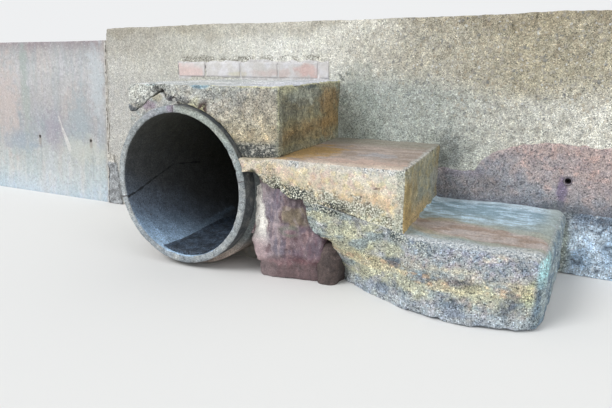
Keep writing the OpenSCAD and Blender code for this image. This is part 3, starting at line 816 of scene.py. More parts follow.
def turn_on_axis(outline, count):
    """Surface of turning: x = r cos(a), z = axis + r sin(a), y as in the outline, for a
    full turn of angles a. Both ways round it is closed."""
    a = np.linspace(0, 2 * pi, count, endpoint=False)
    r, y = outline[:, 0, None], outline[:, 1, None]
    p = np.stack(np.broadcast_arrays(r * np.cos(a), y, AXIS + r * np.sin(a)), -1)
    m, n = p.shape[:2]
    i, j = np.meshgrid(np.arange(m), np.arange(n), indexing="ij")
    ids = lambda u, v: (u % m) * n + v % n
    quads = np.stack([ids(i, j), ids(i + 1, j), ids(i + 1, j + 1), ids(i, j + 1)], -1)
    return p.reshape(-1, 3), quads.reshape(-1, 4)


ring, _ = turn_on_axis(
    along_outline([(BORE, 0), (BARREL, 0), (BARREL, 50), (BORE, 50)], 10), 60)
print("points of a test ring:", len(ring))

# %% Tones of the bore
def bore_shade_and_marks(f, stain, blotch):
    """Painted light and shade on wet concrete, pale blue-grey at the foot near the mouth and
    near black further in and higher up, with a crack along the left and a pale tide line
    over the silt."""
    # Painted light and shade: pale where light reaches the foot at the mouth, near black deeper in.
    inner = f.ramp(
        f.z + f.y * 0.45 + (stain - 0.5) * 0.08, (-0.27, (0.5, 0.7, 0.92)),
        (-0.17, (0.32, 0.46, 0.64)), (-0.05, (0.16, 0.2, 0.26)), (0.1, (0.084, 0.088, 0.09)),
        (0.35, (0.076, 0.074, 0.058)))
    inner = f.mix(f.smooth(blotch, 0.5, 0.7) * 0.12, inner, (0.1, 0.12, 0.14))
    crack = [(-290, -706, 274), (-292, -655, 282), (-298, -550, 316), (-299, -378, 369),
             (-300, -178, 349)]
    for a, b in zip(crack, crack[1:]):
        inner = f.mix(
            f.line(a, b, 4, 5) * f.smooth(blotch, 0.75, 0.45) * 0.85, inner, (0.014, 0.014, 0.014))
    tide = f.line((-125, -500, 80), (-170, -90, 104), 16, 14)
    return f.mix(tide * 0.5, inner, (0.24, 0.34, 0.46))


print("tones of the bore ready")

# %% Finish of the pipe
def pipe_finish():
    """Damp grey, with three cracks over the mouth. Painted shade, near black, fills the groove up
    to the shoulder and darkens the shoulder and, at the upper right, the outer surface under
    the top step; the bore gets painted light and shade.
    """
    f = Finish("pipe_concrete")
    around = f.math("ARCTAN2", f.z - AXIS / 1000, f.x)
    radius = f.radius()
    blotch, stain = f.noise(0.05, 4), f.noise(0.14, 4)
    mouth = f.smooth(f.y, -0.7, -0.704)
    c = f.ramp(
        f.z + f.x * 0.35 + (stain - 0.5) * 0.3, (-0.1, (0.24, 0.28, 0.32)),
        (0.08, (0.36, 0.4, 0.43)), (0.2, (0.44, 0.48, 0.5)), (0.5, (0.34, 0.37, 0.38)),
        (0.8, (0.33, 0.42, 0.42)))
    c = f.layers(c,
        (f.smooth(blotch, 0.5, 0.66) * 0.5, (0.56, 0.57, 0.55)),
        (f.smooth(f.x, 0.1, 0.28) * 0.5, (0.76, 0.76, 0.76), "MULTIPLY"),
        (f.spot((-110, MOUTH, 660), (150, 30, 40), 0.4) * 0.2, (0.36, 0.28, 0.4)),
        (f.spot((-18, MOUTH, 672), (20, 30, 26), 0.4) * 0.6, (0.3, 0.21, 0.33)))
    # Upper right of the pipe: an olive tone, and painted shade, near black, on its outer surface
    # under the top step.
    crest = f.smooth(f.z, 0.5, 0.58) * f.smooth(f.x, -0.05, 0.05)
    c = f.layers(c,
        (crest * 0.45, (0.46, 0.47, 0.38)),
        (crest * f.smooth(radius + f.ragged * 0.02, 0.32, 0.326) * 0.55, (0.1, 0.105, 0.09)))
    outside = f.smooth(radius, 0.312, 0.318)
    # groove: painted shade, near black, on the rebate from the mouth to the shoulder.
    groove = f.smooth(f.y, -0.704, -0.698) * f.smooth(f.y, -0.6302, -0.633) * outside
    c = f.mix(groove, c, f.tones(blotch, 0.4, 0.7, (0.05, 0.058, 0.066), (0.15, 0.155, 0.15)))
    # shoulder: painted shade on its upper part, and a brown tone at its foot.
    shoulder = f.smooth(f.y, -0.6325, -0.631) * outside
    c = f.mix(shoulder, c, f.tones(f.z, 0.16, 0.05, (0.17, 0.19, 0.19), (0.44, 0.36, 0.31)))
    for angle, width in ((1.6, 0.0035), (-2.9, 0.0035), (0.147, 0.003)):
        off = f.math("ABSOLUTE", around - angle + f.ragged * 0.06) * radius
        c = f.mix(f.smooth(off, width, width * 0.4) * mouth * 0.85, c, (0.1, 0.08, 0.09))
    bore = f.smooth(radius, 0.31, 0.306) * f.smooth(f.y, -0.706, -0.698)
    c = f.mix(bore, c, bore_shade_and_marks(f, stain, blotch))
    pore = f.noise(0.008, 3)
    c = f.mix(f.smooth(pore, 0.58, 0.68) * 0.6, c, (0.08, 0.08, 0.08))
    c, height = speckle(f, c, 0.007, 0.5)
    return f.finish(c, 0.62 + blotch * 0.3, pore + blotch * 2 + height, 0.0025)


pipe_look = pipe_finish()

# %% Pipe
outline = along_outline(
    [
        (BORE, MOUTH + 4), (304, MOUTH), (323, MOUTH), (SPIGOT, MOUTH + 5),
        (SPIGOT, SHOULDER - 1), (331, SHOULDER), (349, SHOULDER), (BARREL, SHOULDER + 2),
        (BARREL, 300), (333, 300), (333, 230), (BORE, 230)], 6)
p, quads = turn_on_axis(outline, 264)
worn = np.exp(-((p[:, 1] + 706) / 5) ** 2) * smooth(noise(p, 26, 43), 0.15, 0.8)
p, _ = weather(p, quads, [(90, 1.0, 41), (14, 0.6, 42)])
p[:, 1] += 5 * worn
place_piece("pipe", p, quads, pipe_look, "spigot_pipe", "pipe_concrete")

# %% [markdown]
# The bore is dark because the real pipe runs on. A stage disc behind the socket stands
# for that darkness: it is black towards the mouth and clear from behind.

# %% Darkness behind the pipe
disc = bpy.data.meshes.new("dark_end")
ring = np.linspace(0, 2 * pi, 48, endpoint=False)
rim = np.stack([np.cos(ring), 0 * ring, np.sin(ring)], 1) * 0.345 + (PX, PY + 0.31, AXIS / 1000)
disc.from_pydata(rim, [], [list(range(len(rim)))])
night = Finish("dark_end")
back = night.node("ShaderNodeNewGeometry", out="Backfacing")
black = night.node("ShaderNodeBsdfDiffuse", {}, (0.004, 0.004, 0.004))
clear = night.node("ShaderNodeBsdfTransparent")
night.tree.links.new(
    night.node("ShaderNodeMixShader", {}, back, black, clear).socket, night.output.inputs[0])
disc.materials.append(night.material)
dark_end = bpy.data.objects.new("dark_end", disc)
bpy.context.collection.objects.link(dark_end)
print("dark disc faces", tuple(round(v) for v in disc.polygons[0].normal))

# %% [markdown]
# Silt settles in a pipe where water runs slowly. A fluid simulation would be too much
# for a bed that lies still, so it is one thin cast block with wandering edges, turned up
# a little where it meets the bore, and smoother than the mortars.

# %% Silt in the bore
silt_finish = lump_finish("silt", (0.082, 0.115, 0.165), (0.049, 0.063, 0.085), 0.007, 0.9, 0.6)


def silt_bend(x, y, z):
    """Wet silt with wandering edges, a little higher where it meets the bore."""
    x = x * (1 + 0.1 * noise(np.stack([y, x * 0, x * 0], 1), 150, 44))
    bore = AXIS + 1.5 - np.sqrt((BORE + 1.5) ** 2 - x ** 2)
    return x, y, np.maximum(z, bore) + 1.5 * np.abs(x / 60)


mortar_block("silt_bed", steps(-120, 120, 6), steps(-690, 228, 9), steps(44, 72, 9),
             silt_bend, 2,
             [(120, 2, 45), (24, 2.0, 46), (9, 0.8, 47)], silt_finish, None, "rough_concrete")

# %% [markdown]
# ## Mortar round the pipe
# Masons pack mortar into every gap that the round pipe leaves: a collar in the wall, a
# haunch under its open side, a wedge on its crown and a fillet beside the sandstone.

# %% Collar and haunch
rough_finish = lump_finish("rough_concrete", (0.36, 0.35, 0.32), (0.2, 0.19, 0.17))
p, quads = turn_on_axis(
    along_outline([(349, -10), (356, -12), (366, -5), (373, 4), (373, 290), (349, 290)], 8), 200)
lean(p)
p, relief = weather(p, quads, [(70, 4, 51), (24, 2.5, 52), (10, 1, 53)])
place_piece("collar", p, quads, rough_finish, "pipe_collar", "rough_concrete", relief=relief)


def haunch_bend(x, y, z):
    """A low ridge whose height varies along x, and which rises towards the wall."""
    top = np.interp(x, [-420, -340, -250, -80], [70, 140, 70, 20])
    return x, y, z * top * (0.8 + 0.2 * smooth(y, -480, -200)) / 100


mortar_block("haunch", steps(-400, -74, 9), steps(-470, 20, 9), steps(0, 100, 9), haunch_bend, 12,
             [(80, 8, 55), (30, 4, 56), (12, 2, 57)], rough_finish, "pipe_haunch", "rough_concrete")

# %% Crown mortar
def underside(x, y):
    """Height of the top step's underside: it rises from the hanging left end to a peak,
    then drops onto the pipe. The pipe's radius there is the spigot's in front of the
    shoulder and the barrel's behind it."""
    left = np.interp(x, [-315, -301, -284, -242, -200, -171, -136, -110, -96, -48, 0],
                     [668, 642, 638, 661, 691, 709, 730, 723, 695, 692, 650])
    r = SPIGOT + 1 + 21 * smooth(y, SHOULDER - 4, SHOULDER + 1)
    on_pipe = AXIS + np.sqrt(np.clip(r ** 2 - x ** 2, 1, None))
    return np.where(
        x < -96, left, np.maximum(np.maximum(on_pipe, MID - 1), np.where(x < 0, left, 0)))


def crown_bend(x, y, z):
    """x is the angle in degrees round the barrel, z the share of the wedge's thickness.
    The wedge fills the corner under the step but for an open joint near its peak."""
    thick = np.interp(
        x, [96, 103, 105.6, 106.6, 109, 113, 120, 128, 134, 137, 142, 149, 153],
        [2, 4, 6, 30, 43, 41, 41, 41, 50, 56, 38, 8, 2])
    ahead = y < SHOULDER + 4
    r = np.where(ahead, SPIGOT - 2, BARREL - 4) + z / 100 * (thick + np.where(ahead, 24, 4))
    return r * np.cos(np.radians(x)), y, AXIS + r * np.sin(np.radians(x))


def crown_look():
    """Pale mortar with purple and buff patches and dark pores."""
    f = Finish("crown_mortar")
    blotch, fine = f.noise(0.03, 4), f.noise(0.008, 3)
    c = f.tones(blotch, 0.4, 0.62, (0.58, 0.575, 0.54), (0.48, 0.51, 0.5))
    c = f.layers(c,
        (f.spot((-196, -650, 668), (40, 70, 22), 0.5) * 0.6, (0.36, 0.24, 0.34)),
        (f.spot((-150, -640, 705), (26, 60, 16), 0.5) * 0.7, (0.56, 0.52, 0.38)),
        (f.smooth(fine, 0.56, 0.68) * 0.5, (0.22, 0.18, 0.18)))
    c, height = speckle(f, c, 0.006, 0.6)
    return f.finish(c, 0.85, height + blotch, 0.003)


p, quads, _ = cast_box(steps(96, 153, 0.8), steps(-636, -150, 8), steps(0, 100, 8))
p = np.stack(crown_bend(*p.T), 1)
p, _ = weather(p, quads, [(60, 3, 58), (20, 3, 59), (9, 1.8, 60)])
place_piece(
    "crown_crescent", p, quads[:, ::-1], crown_look(), "crown_mortar", "crown_mortar")

# %% Side mortar
def fillet_bend(x, y, z):
    """A thin fillet between the barrel's side and the sandstone, x from arc to stone."""
    inner = np.sqrt(np.clip((BARREL - 3) ** 2 - (z - AXIS) ** 2, 0, None))
    outer = np.interp(z, [172, 371, 430], [340, 368, 372])
    return inner + x / 100 * np.maximum(outer - inner, 3), y, z


fillet_finish = lump_finish("side_mortar", (0.46, 0.36, 0.37), (0.3, 0.22, 0.23), 0.007, 0.5)
mortar_block(
    "side_fillet", steps(0, 100, 12), steps(-627, -556, 7), steps(172, 430, 6), fillet_bend, 3,
    [(60, 2, 61), (18, 2, 62)], fillet_finish, "stone_mortar", "patch_mortar")

# %% [markdown]
# ## Top step
# The top step hangs over the pipe's left and sits on its crown, so its underside follows
# the barrel. The boards leaked at the left: gravel lumps, a crack and a small cavity show
# there. Lumps and dents are bell-shaped bumps at measured places.

# %% Front of the top step
def top_front(f, z, broad, fine):
    """Painted shade with dark gravel at its foot, buff above and pale grey at the left, broken
    and dark along the pipe."""
    # The dark foot of this ramp is painted shade.
    c = f.ramp(
        z, (0.49, (0.18, 0.19, 0.175)), (0.54, (0.23, 0.235, 0.195)), (0.565, (0.48, 0.42, 0.305)),
        (0.61, (0.48, 0.44, 0.34)), (0.68, (0.44, 0.43, 0.39)), (0.76, (0.42, 0.44, 0.42)))
    c = f.mix(f.edge(f.x, broad, 0.2, 0.2, 0.0) * 0.55, c, (0.64, 0.65, 0.62))
    c = mottle(f, c, [(1.09, 1.08, 1.02), (0.85, 0.86, 0.88), (1.04, 0.99, 0.95)], 0.03)
    c = f.layers(c,
        (f.spot((-230, -630, 720), (130, 60, 60)) * 0.6, (0.64, 0.66, 0.62)),
        (f.spot((380, -630, 690), (90, 60, 70)) * 0.4, (0.5, 0.44, 0.33)))
    # low: a band at the foot, partly dark gravel, partly painted shade.
    low = f.edge(f.z, fine, 0.05, 0.56, 0.528) * f.smooth(f.x, 0.18, 0.22)
    c = f.layers(c,
        (low * 0.75, f.tones(f.noise(0.01, 3), 0.46, 0.6, (0.05, 0.055, 0.06), (0.46, 0.45, 0.4))),
        (f.spot((285, -650, 508), (60, 60, 24), 0.8) * 0.7, (0.07, 0.08, 0.08)))
    gritty = f.edge(f.radius(), fine, 0.03, 0.372, 0.348)
    gritty = gritty * f.smooth(f.x, -0.14, -0.11) * f.smooth(f.x, 0.1, 0.05)
    c = f.layers(c,
        (
            gritty * 0.7,
            f.tones(f.noise(0.007, 3), 0.46, 0.58, (0.07, 0.075, 0.085), (0.46, 0.46, 0.42))),
        (f.spot((-290, TOP_FRONT, 650), (34, 60, 22), 0.8) * 0.8, (0.1, 0.12, 0.15)),
        (f.line((-150, TOP_FRONT, 742), (-105, TOP_FRONT, 712), 12, 9) * 0.7, (0.1, 0.1, 0.09)))
    pebble = f.smooth(f.noise(0.009, 2, shift=6.0), 0.5, 0.57)
    for a, b in (
            ((-290, TOP_FRONT, 662), (-150, TOP_FRONT, 748)),
            ((-140, TOP_FRONT, 745), (-70, TOP_FRONT, 706)),
            ((-70, TOP_FRONT, 706), (40, TOP_FRONT, 690)),
    ):
        c = f.mix(f.line(a, b, 14, 10) * pebble * 0.8, c, (0.07, 0.08, 0.09))
    return f.layers(c,
        (f.spot((-75, TOP_FRONT, 700), (34, 60, 12), 0.9) * 0.7, (0.09, 0.08, 0.1)),
        (f.spot((-165, -630, 768), (60, 30, 14)) * 0.8, (0.42, 0.54, 0.56)),
        (f.spot((74, -665, 680), (28, 90, 32), 0.3) * 0.7, (0.42, 0.41, 0.29)),
        # Near black in the cavity beside the olive lump: painted shade.
        (f.spot((117, -665, 668), (24, 90, 34), 0.3) * 0.95, (0.06, 0.03, 0.025)))


print("front of the top step ready")

# %% Finish of the top step
def top_end(f, z, broad):
    """Brown and green right end, pale and damp where the tread drips over it."""
    side = f.ramp(
        z - f.y * 0.05, (0.49, (0.41, 0.42, 0.335)), (0.545, (0.32, 0.295, 0.19)),
        (0.585, (0.35, 0.26, 0.135)), (0.64, (0.31, 0.3, 0.205)), (0.7, (0.26, 0.26, 0.205)),
        (0.78, (0.34, 0.355, 0.28)))
    side = mottle(
        f, side, [(1.22, 1.14, 1.02), (0.8, 0.82, 0.85), (1.1, 1.14, 1.14)], 0.028,
        stretch=(1, 5, 1))
    return f.layers(side,
        (f.spot((410, -380, 725), (90, 150, 40), 0.7) * 0.7, (0.48, 0.51, 0.44)),
        (
            f.edge(f.y, broad, 0.1, -0.42, -0.5) * f.smooth(z, 0.745, 0.715) * 0.6,
            (0.55, 0.58, 0.6), "MULTIPLY"),
        (f.spot((400, -90, 670), (90, 110, 130), 0.8, 0.6) * 0.7, (0.42, 0.27, 0.115)),
        (f.spot((440, -560, 752), (60, 150, 20), 0.7) * 0.8, (0.52, 0.52, 0.36)),
        (f.spot((420, -330, 748), (80, 60, 14), 0.8) * 0.8, (0.1, 0.13, 0.14)),
        (f.spot((400, -90, 760), (80, 130, 30), 0.7) * 0.6, (0.46, 0.47, 0.36)))


def top_step_finish():
    """Front and right end by the way the block faces, a pale tread, and lichen along the
    arrises."""
    f = Finish("top_step")
    up, end, arris, relief = (f.attribute(n) for n in ("up", "end", "arris", "relief"))
    broad, fine = f.noise(0.16, 4), f.noise(0.03, 4)
    up = up * f.smooth(f.z, 0.725, 0.745)
    z = f.z + (broad - 0.5) * 0.08
    right = f.smooth(end, 0.3, 0.9) * f.smooth(f.x, 0.32, 0.37)
    c = f.mix(right, top_front(f, z, broad, fine), top_end(f, z, broad))
    tread = f.tones(
        f.noise(0.06, 4, stretch=(3, 1, 1)), 0.45, 0.62, (0.56, 0.585, 0.58), (0.82, 0.825, 0.82))
    c = f.layers(c,
        (up, f.mix(f.smooth(f.x, 0.0, 0.45) * 0.6, tread, (0.64, 0.66, 0.76))),
        (f.spot((76, -640, 762), (48, 22, 15)) * 0.85, (0.28, 0.44, 0.55)))
    lichen = f.edge(arris, fine, 1.2, 0.5, 0.8) * f.smooth(f.z, 0.56, 0.6)
    c = f.layers(c,
        (lichen * f.smooth(f.x, -0.1, 0.2) * 0.8, (0.6, 0.58, 0.36)),
        (f.smooth(relief, -2.5, -9), (0.05, 0.045, 0.04)),
        (
            f.smooth(f.x, 0.424, 0.438) * f.smooth(f.y, -0.6, -0.615) * (1 - up) * 0.5,
            (0.34, 0.35, 0.28)))
    c, height = speckle(f, c, 0.0058, 0.92 - up * 0.35)
    return f.finish(c, 0.8 - up * 0.1, height, 0.0035)


top_finish = top_step_finish()

# %% Top step
def top_bend(x, y, z):
    """z is squeezed between the underside and the tread. The right end is splayed, 70 mm
    shorter at the wall than at the front. The foot of the front laps forward over the
    spigot, up to 38 mm, near the pipe and between 25 and 84 degrees round it."""
    back = np.clip((y - TOP_FRONT) / 690, 0, 1)
    zz = TOP - (TOP - z) * (TOP - underside(x, y)) / 270
    r, a = np.hypot(x, zz - AXIS), np.degrees(np.arctan2(zz - AXIS, x))
    saddle = smooth(395 - r, 0, 55) * smooth(a, 18, 30) * smooth(92 - a, 0, 16)
    foot = np.interp(x, [200, 300, 380, 430, 450], [0.6, 1, 0.6, 0.2, 0])
    foot = foot * (1 - smooth(zz, 494, 570)) * smooth(x, 120, 240)
    forward = 38 * np.maximum(saddle, foot) * smooth(-y, 540, -TOP_FRONT)
    worn_end = 26 * smooth(-x, 240, 315) * np.clip((zz - TOP + 34) / 34, 0, 1) ** 2
    return x - 70 * back * smooth(x, -100, 446) + worn_end, y - forward, zz


xs = np.concatenate([steps(-315, -44, 3.5), steps(-39, 446, 5.4)])
p, quads, _ = cast_box(xs, steps(TOP_FRONT, 66, 8), steps(490, 760, 5.4))
near = arris_distance(p)
p = round_arrises(p, 9)
p = np.stack(top_bend(*p.T), 1)
lay = lay_of(p, quads, near)
front = smooth(-p[:, 1], 560, 600)
left = 1 - smooth(p[:, 0], -60, 140)
lumps = [
    ((74, 680), (24, 26), 17), ((118, 668), (17, 24), -34), ((104, 698), (8, 8), 6),
    ((-286, 654), (24, 18), 8), ((-250, 672), (20, 12), 8), ((-120, 722), (13, 20), -16),
    ((-196, 716), (16, 12), 6), ((-78, 704), (16, 12), 7), ((10, 696), (24, 14), 8),
    ((40, 660), (14, 10), 6), ((300, 512), (30, 10), 6), ((390, 505), (34, 9), 6),
    ((150, 664), (16, 12), 6)]
p, relief = weather(
    p, quads, [(260, 3, 63), (60, 2, 64), (18, 1.6, 65), (8, 0.7, 68)],
    [((x, -640, z), (rx, 30, rz), h) for (x, z), (rx, rz), h in lumps])
pitted = front * left * smooth(noise(p, 20, 66), 0.2, 0.7) * 4
chip = np.exp(-near / 12) * smooth(noise(p, 34, 67), 0.15, 0.8) * 8
over = np.maximum(p[:, 2] - underside(p[:, 0], p[:, 1]), 0)
broken = front * left * np.exp(-over / 16) * noise(p, 15, 69, 2) * 5
sink = pitted + chip + broken
p = p - normals(p, quads) * sink[:, None]
place_piece(
    "top_step_block", p, quads, top_finish, "top_step", "top_step", relief=relief - sink, **lay)

# %% [markdown]
# ## Middle step
# The middle step leans on the pipe's side, and its tip laps forward over the rebate up to
# the mouth. Its lower edge falls to the right along the mass below, and black, white and
# green lichen grows along that edge. Its face keeps an ochre skin of fine cement.

# %% Lichen along the seam
def lichen_band(f, c, fine, speck):
    """Dark green, black and white lichen in a broad band that falls to the right across
    the faces of the middle and bottom steps, where water seeps out between them."""
    off = f.ramp(
        f.x, (0.33, 0.43), (0.42, 0.385), (0.5, 0.355), (0.56, 0.35), (0.69, 0.345), (0.74, 0.352),
        (0.82, 0.325), (0.945, 0.275), (1.06, 0.235))
    off = f.math("ABSOLUTE", f.z - off + (fine - 0.5) * 0.09)
    band = f.smooth(off, 0.056, 0.024) * f.smooth(f.x, 0.35, 0.39) * f.smooth(f.x, 1.12, 0.98)
    band = band * f.smooth(f.noise(0.05, 4, shift=9.0), 0.34, 0.48)
    growth = f.ramp(
        speck, (0.38, (0.03, 0.045, 0.04)), (0.47, (0.13, 0.16, 0.15)), (0.52, (0.42, 0.45, 0.37)),
        (0.6, (0.86, 0.88, 0.8)))
    dark = f.math(
        "MAXIMUM", f.spot((505, MID_FRONT, 364), (80, 60, 28), 0.7),
        f.spot((680, MID_FRONT, 318), (60, 60, 22), 0.9))
    seam = f.line((730, MID_FRONT, 306), (948, MID_FRONT, 263), 3, 8)
    c = f.layers(c,
        (band * 0.75, growth),
        (seam * f.smooth(speck, 0.56, 0.46) * 0.8, (0.07, 0.07, 0.06)))
    return f.mix(dark * f.smooth(speck, 0.58, 0.48) * 0.95, c, (0.045, 0.055, 0.055))


print("lichen band ready")

# %% Front of the middle step
def middle_front(f, up, broad, fine, speck):
    """An ochre skin over washed gravel, with lichen along the seam, pale and dark grit
    under the arris, and an old scratch."""
    c = f.ramp(
        f.z + (f.x - 0.35) * 0.12 + (broad - 0.5) * 0.05, (0.3, (0.8, 0.8, 0.55)),
        (0.36, (0.79, 0.74, 0.54)), (0.42, (0.73, 0.62, 0.465)), (0.47, (0.78, 0.69, 0.57)),
        (0.52, (0.8, 0.76, 0.66)))
    c = mottle(
        f, c, [(1.1, 1.12, 1.1), (0.95, 0.86, 0.9), (0.88, 0.92, 0.88), (1.06, 1.02, 0.88)], 0.03)
    c = f.layers(c,
        (f.spot((800, MID_FRONT, 368), (120, 60, 26)) * 0.45, (0.74, 0.54, 0.32)),
        (f.smooth(speck, 0.58, 0.68) * 0.5, (0.34, 0.27, 0.2)))
    pale = f.edge(f.z, fine, 0.05, 0.455, 0.478) * f.smooth(f.x, 0.4, 0.46)
    c = f.mix(pale * 0.6, c, (0.64, 0.62, 0.58))
    top = f.edge(f.x, fine, 0.1, 0.74, 0.8) + f.spot((520, MID_FRONT, 470), (46, 60, 30), 0.5)
    top = top * f.smooth(f.noise(0.02, 3, shift=2.0), 0.36, 0.5)
    c = f.mix(pale * top, c, f.tones(speck, 0.4, 0.52, (0.2, 0.23, 0.24), (0.78, 0.78, 0.76)))
    c = lichen_band(f, c, fine, speck)
    corner = f.edge(f.x, fine, 0.08, 0.9, 0.928) * (1 - up)
    scratch = f.line((791, MID_FRONT, 408), (888, MID_FRONT, 418), 3, 3)
    return f.layers(c,
        (corner * 0.7, f.tones(speck, 0.42, 0.55, (0.16, 0.19, 0.17), (0.6, 0.63, 0.55))),
        (scratch * f.smooth(speck, 0.42, 0.5) * 0.9, (0.1, 0.06, 0.05)))


print("front of the middle step ready")

# %% Right end and tread of the middle step
def middle_end(f, broad, fine, speck):
    """Olive, with ochre at the front arris and along the foot."""
    side = mottle(
        f, f.ramp(broad, (0.3, (0.37, 0.38, 0.31)), (0.7, (0.475, 0.465, 0.36))),
        [(1.33, 1.27, 1.15), (0.76, 0.8, 0.83), (1.15, 1.04, 0.85)], 0.03, (1, 2, 1))
    return f.layers(side,
        (
            f.edge(f.z, fine, 0.05, 0.46, 0.42) * f.edge(f.y, fine, 0.1, -0.52, -0.6) * 0.8,
            (0.53, 0.4, 0.18)),
        (f.edge(f.y, fine, 0.06, -0.07, -0.02) * 0.6, (0.48, 0.38, 0.22)),
        (
            f.edge(f.z, fine, 0.08, 0.345, 0.29) * f.smooth(f.y, -0.1, -0.25) * 0.75,
            (0.72, 0.53, 0.26)),
        (f.smooth(speck, 0.56, 0.66) * f.smooth(f.z, 0.36, 0.3) * 0.6, (0.1, 0.09, 0.07)),
        (f.spot((930, -560, 385), (80, 110, 60), 0.6) * 0.6, (0.42, 0.33, 0.165)),
        (f.edge(f.z, fine, 0.05, 0.37, 0.42) * 0.8, (0.93, 0.9, 0.84), "MULTIPLY"),
        (f.spot((930, -615, 318), (80, 60, 46), 0.5) * 0.7, (0.5, 0.355, 0.155)),
        (f.spot((880, -60, 350), (80, 110, 60), 0.6) * 0.7, (0.42, 0.42, 0.38)))


def middle_tread(f, fine, speck):
    """Brown and worn, with a rusty patch at the left and a gritty rim at the right."""
    damp = f.noise(0.07, 4, stretch=(4, 1, 1))
    tread = f.tones(damp, 0.4, 0.62, (0.36, 0.29, 0.245), (0.48, 0.405, 0.365))
    tread = f.layers(tread,
        (f.spot((470, -450, 490), (110, 200, 60), 0.6) * 0.9, (0.5, 0.32, 0.12)),
        (f.smooth(f.x, 0.44, 0.41) * f.smooth(f.y, -0.6, -0.63), (0.6, 0.54, 0.42)),
        (f.spot((760, -580, 490), (190, 70, 60), 0.6) * 0.6, (0.66, 0.48, 0.4)),
        (f.edge(f.y, damp, 0.2, -0.22, -0.08) * 0.75, (0.3, 0.3, 0.25)),
        (f.spot((755, -400, 490), (70, 36, 60), 0.9) * 0.45, (0.5, 0.54, 0.62)),
        (f.edge(f.y, damp, 0.06, -0.58, -0.63) * f.smooth(f.x, 0.5, 0.65), (0.66, 0.55, 0.46)))
    rim = f.edge(f.x - f.y * -0.103, fine, 0.05, 0.86, 0.878) * f.smooth(f.y, -0.02, -0.15)
    gritty = f.tones(speck, 0.42, 0.55, (0.3, 0.32, 0.3), (0.74, 0.74, 0.7))
    return f.mix(rim * 0.8, tread, gritty)


print("right end and tread of the middle step ready")

# %% Finish of the middle step
def middle_step_finish():
    """Front, right end and tread by the way the block faces; gravel shows at the foot."""
    f = Finish("middle_step")
    up, end, relief = (f.attribute(n) for n in ("up", "end", "relief"))
    broad, fine, speck = f.noise(0.14, 4), f.noise(0.025, 4), f.noise(0.006, 3)
    up = up * f.smooth(f.z, 0.455, 0.472)
    right = f.smooth(end, 0.3, 0.9) * f.smooth(f.x, 0.8, 0.86)
    c = f.mix(right, middle_front(f, up, broad, fine, speck), middle_end(f, broad, fine, speck))
    c = f.layers(c,
        (up, middle_tread(f, fine, speck)),
        (f.spot((357, -676, 436), (30, 40, 16), 0.5) * (1 - up) * 0.9, (0.05, 0.055, 0.03)),
        (f.smooth(relief, -2, -8), (0.07, 0.06, 0.045)))
    rough = f.smooth(f.z + f.math("MAXIMUM", f.x - 0.35, 0.0) * 0.31, 0.47, 0.41) * 0.5 + end * 0.3
    c, height = speckle(f, c, 0.0054, rough + 0.45, pale=0.07, clumps=0.8)
    return f.finish(c, 0.82 - up * 0.22, height + fine, 0.003)


mid_finish = middle_step_finish()

# %% Middle step
def seam_height(x):
    """Underside of the middle step: level at the tip, then falling to the right."""
    return np.interp(
        x, [300, 339, 392, 405, 430, 500, 559, 650, 950],
        [440, 438, 438, 402, 374, 345, 340, 322, 262])


def middle_bend(x, y, z):
    """x runs from the pipe's side to the splayed right end, z from the seam to the tread,
    and the front swings forward to the mouth within 90 mm of the pipe."""
    share = (x - 330) / 620
    level = (z - 300) / 190
    zz = seam_height(330 + share * 620) * (1 - level) + MID * level
    pipe_side = np.sqrt((SPIGOT + 2) ** 2 - (np.clip(zz, AXIS, 490) - AXIS) ** 2)
    right = 950 - 70 * np.clip((y - MID_FRONT) / 680, 0, 1)
    xx = pipe_side + share * (right - pipe_side)
    lap = smooth(448 - xx, 0, 66) * smooth(-y, 520, 640)
    return xx, y - 54 * lap, zz - 3 * lap * level


def gravel_face(p):
    """The gravelly surface that the middle step's foot and the bottom step share."""
    return 4 * noise(p, 70, 85) + 2.6 * noise(p, 24, 86, 2) + 0.8 * noise(p, 8, 89, 2)


p, quads, _ = cast_box(steps(320, 950, 5.4), steps(MID_FRONT, 55, 7.5), steps(300, 490, 5.4))
near = arris_distance(p)
worn = np.maximum(
    smooth(p[:, 2:], 330, 400), smooth(p[:, :1], 890, 935) * smooth(p[:, 2:], 302, 320))
p = p + worn * (round_arrises(p, 9) - p)
p = np.stack(middle_bend(*p.T), 1)
lay = lay_of(p, quads, near)
low_part = (1 - smooth(p[:, 2] - seam_height(p[:, 0]), 5, 70)) * (1 - lay["up"])
over_stones = 1 - smooth(p[:, 0], 540, 580)
skin = 2.2 * noise(p, 60, 74) + 1.3 * noise(p, 18, 75) + 0.7 * noise(p, 8, 76)
skin += low_part * (gravel_face(p) - skin)
chipped = np.maximum(over_stones, 1 - low_part)
sink = np.exp(-near / 12) * smooth(noise(p, 30, 77), 0.1, 0.8) * 8 * chipped
p, _ = weather(p, quads, [(240, 3, 73), (2000, 0.1, 84)])
p = p + normals(p, quads) * (skin - sink)[:, None]
place_piece(
    "middle_step_block", p, quads, mid_finish, "middle_step", "middle_step",
    relief=skin - sink, **lay)

# %% [markdown]
# ## Bottom step
# The bottom step was poured on the ground in rough boards, so its front bulges out at the
# foot, and its left end tucks in behind the stones. Its outline is read from a few points
# of the foot and of the left edge, and interpolated between.

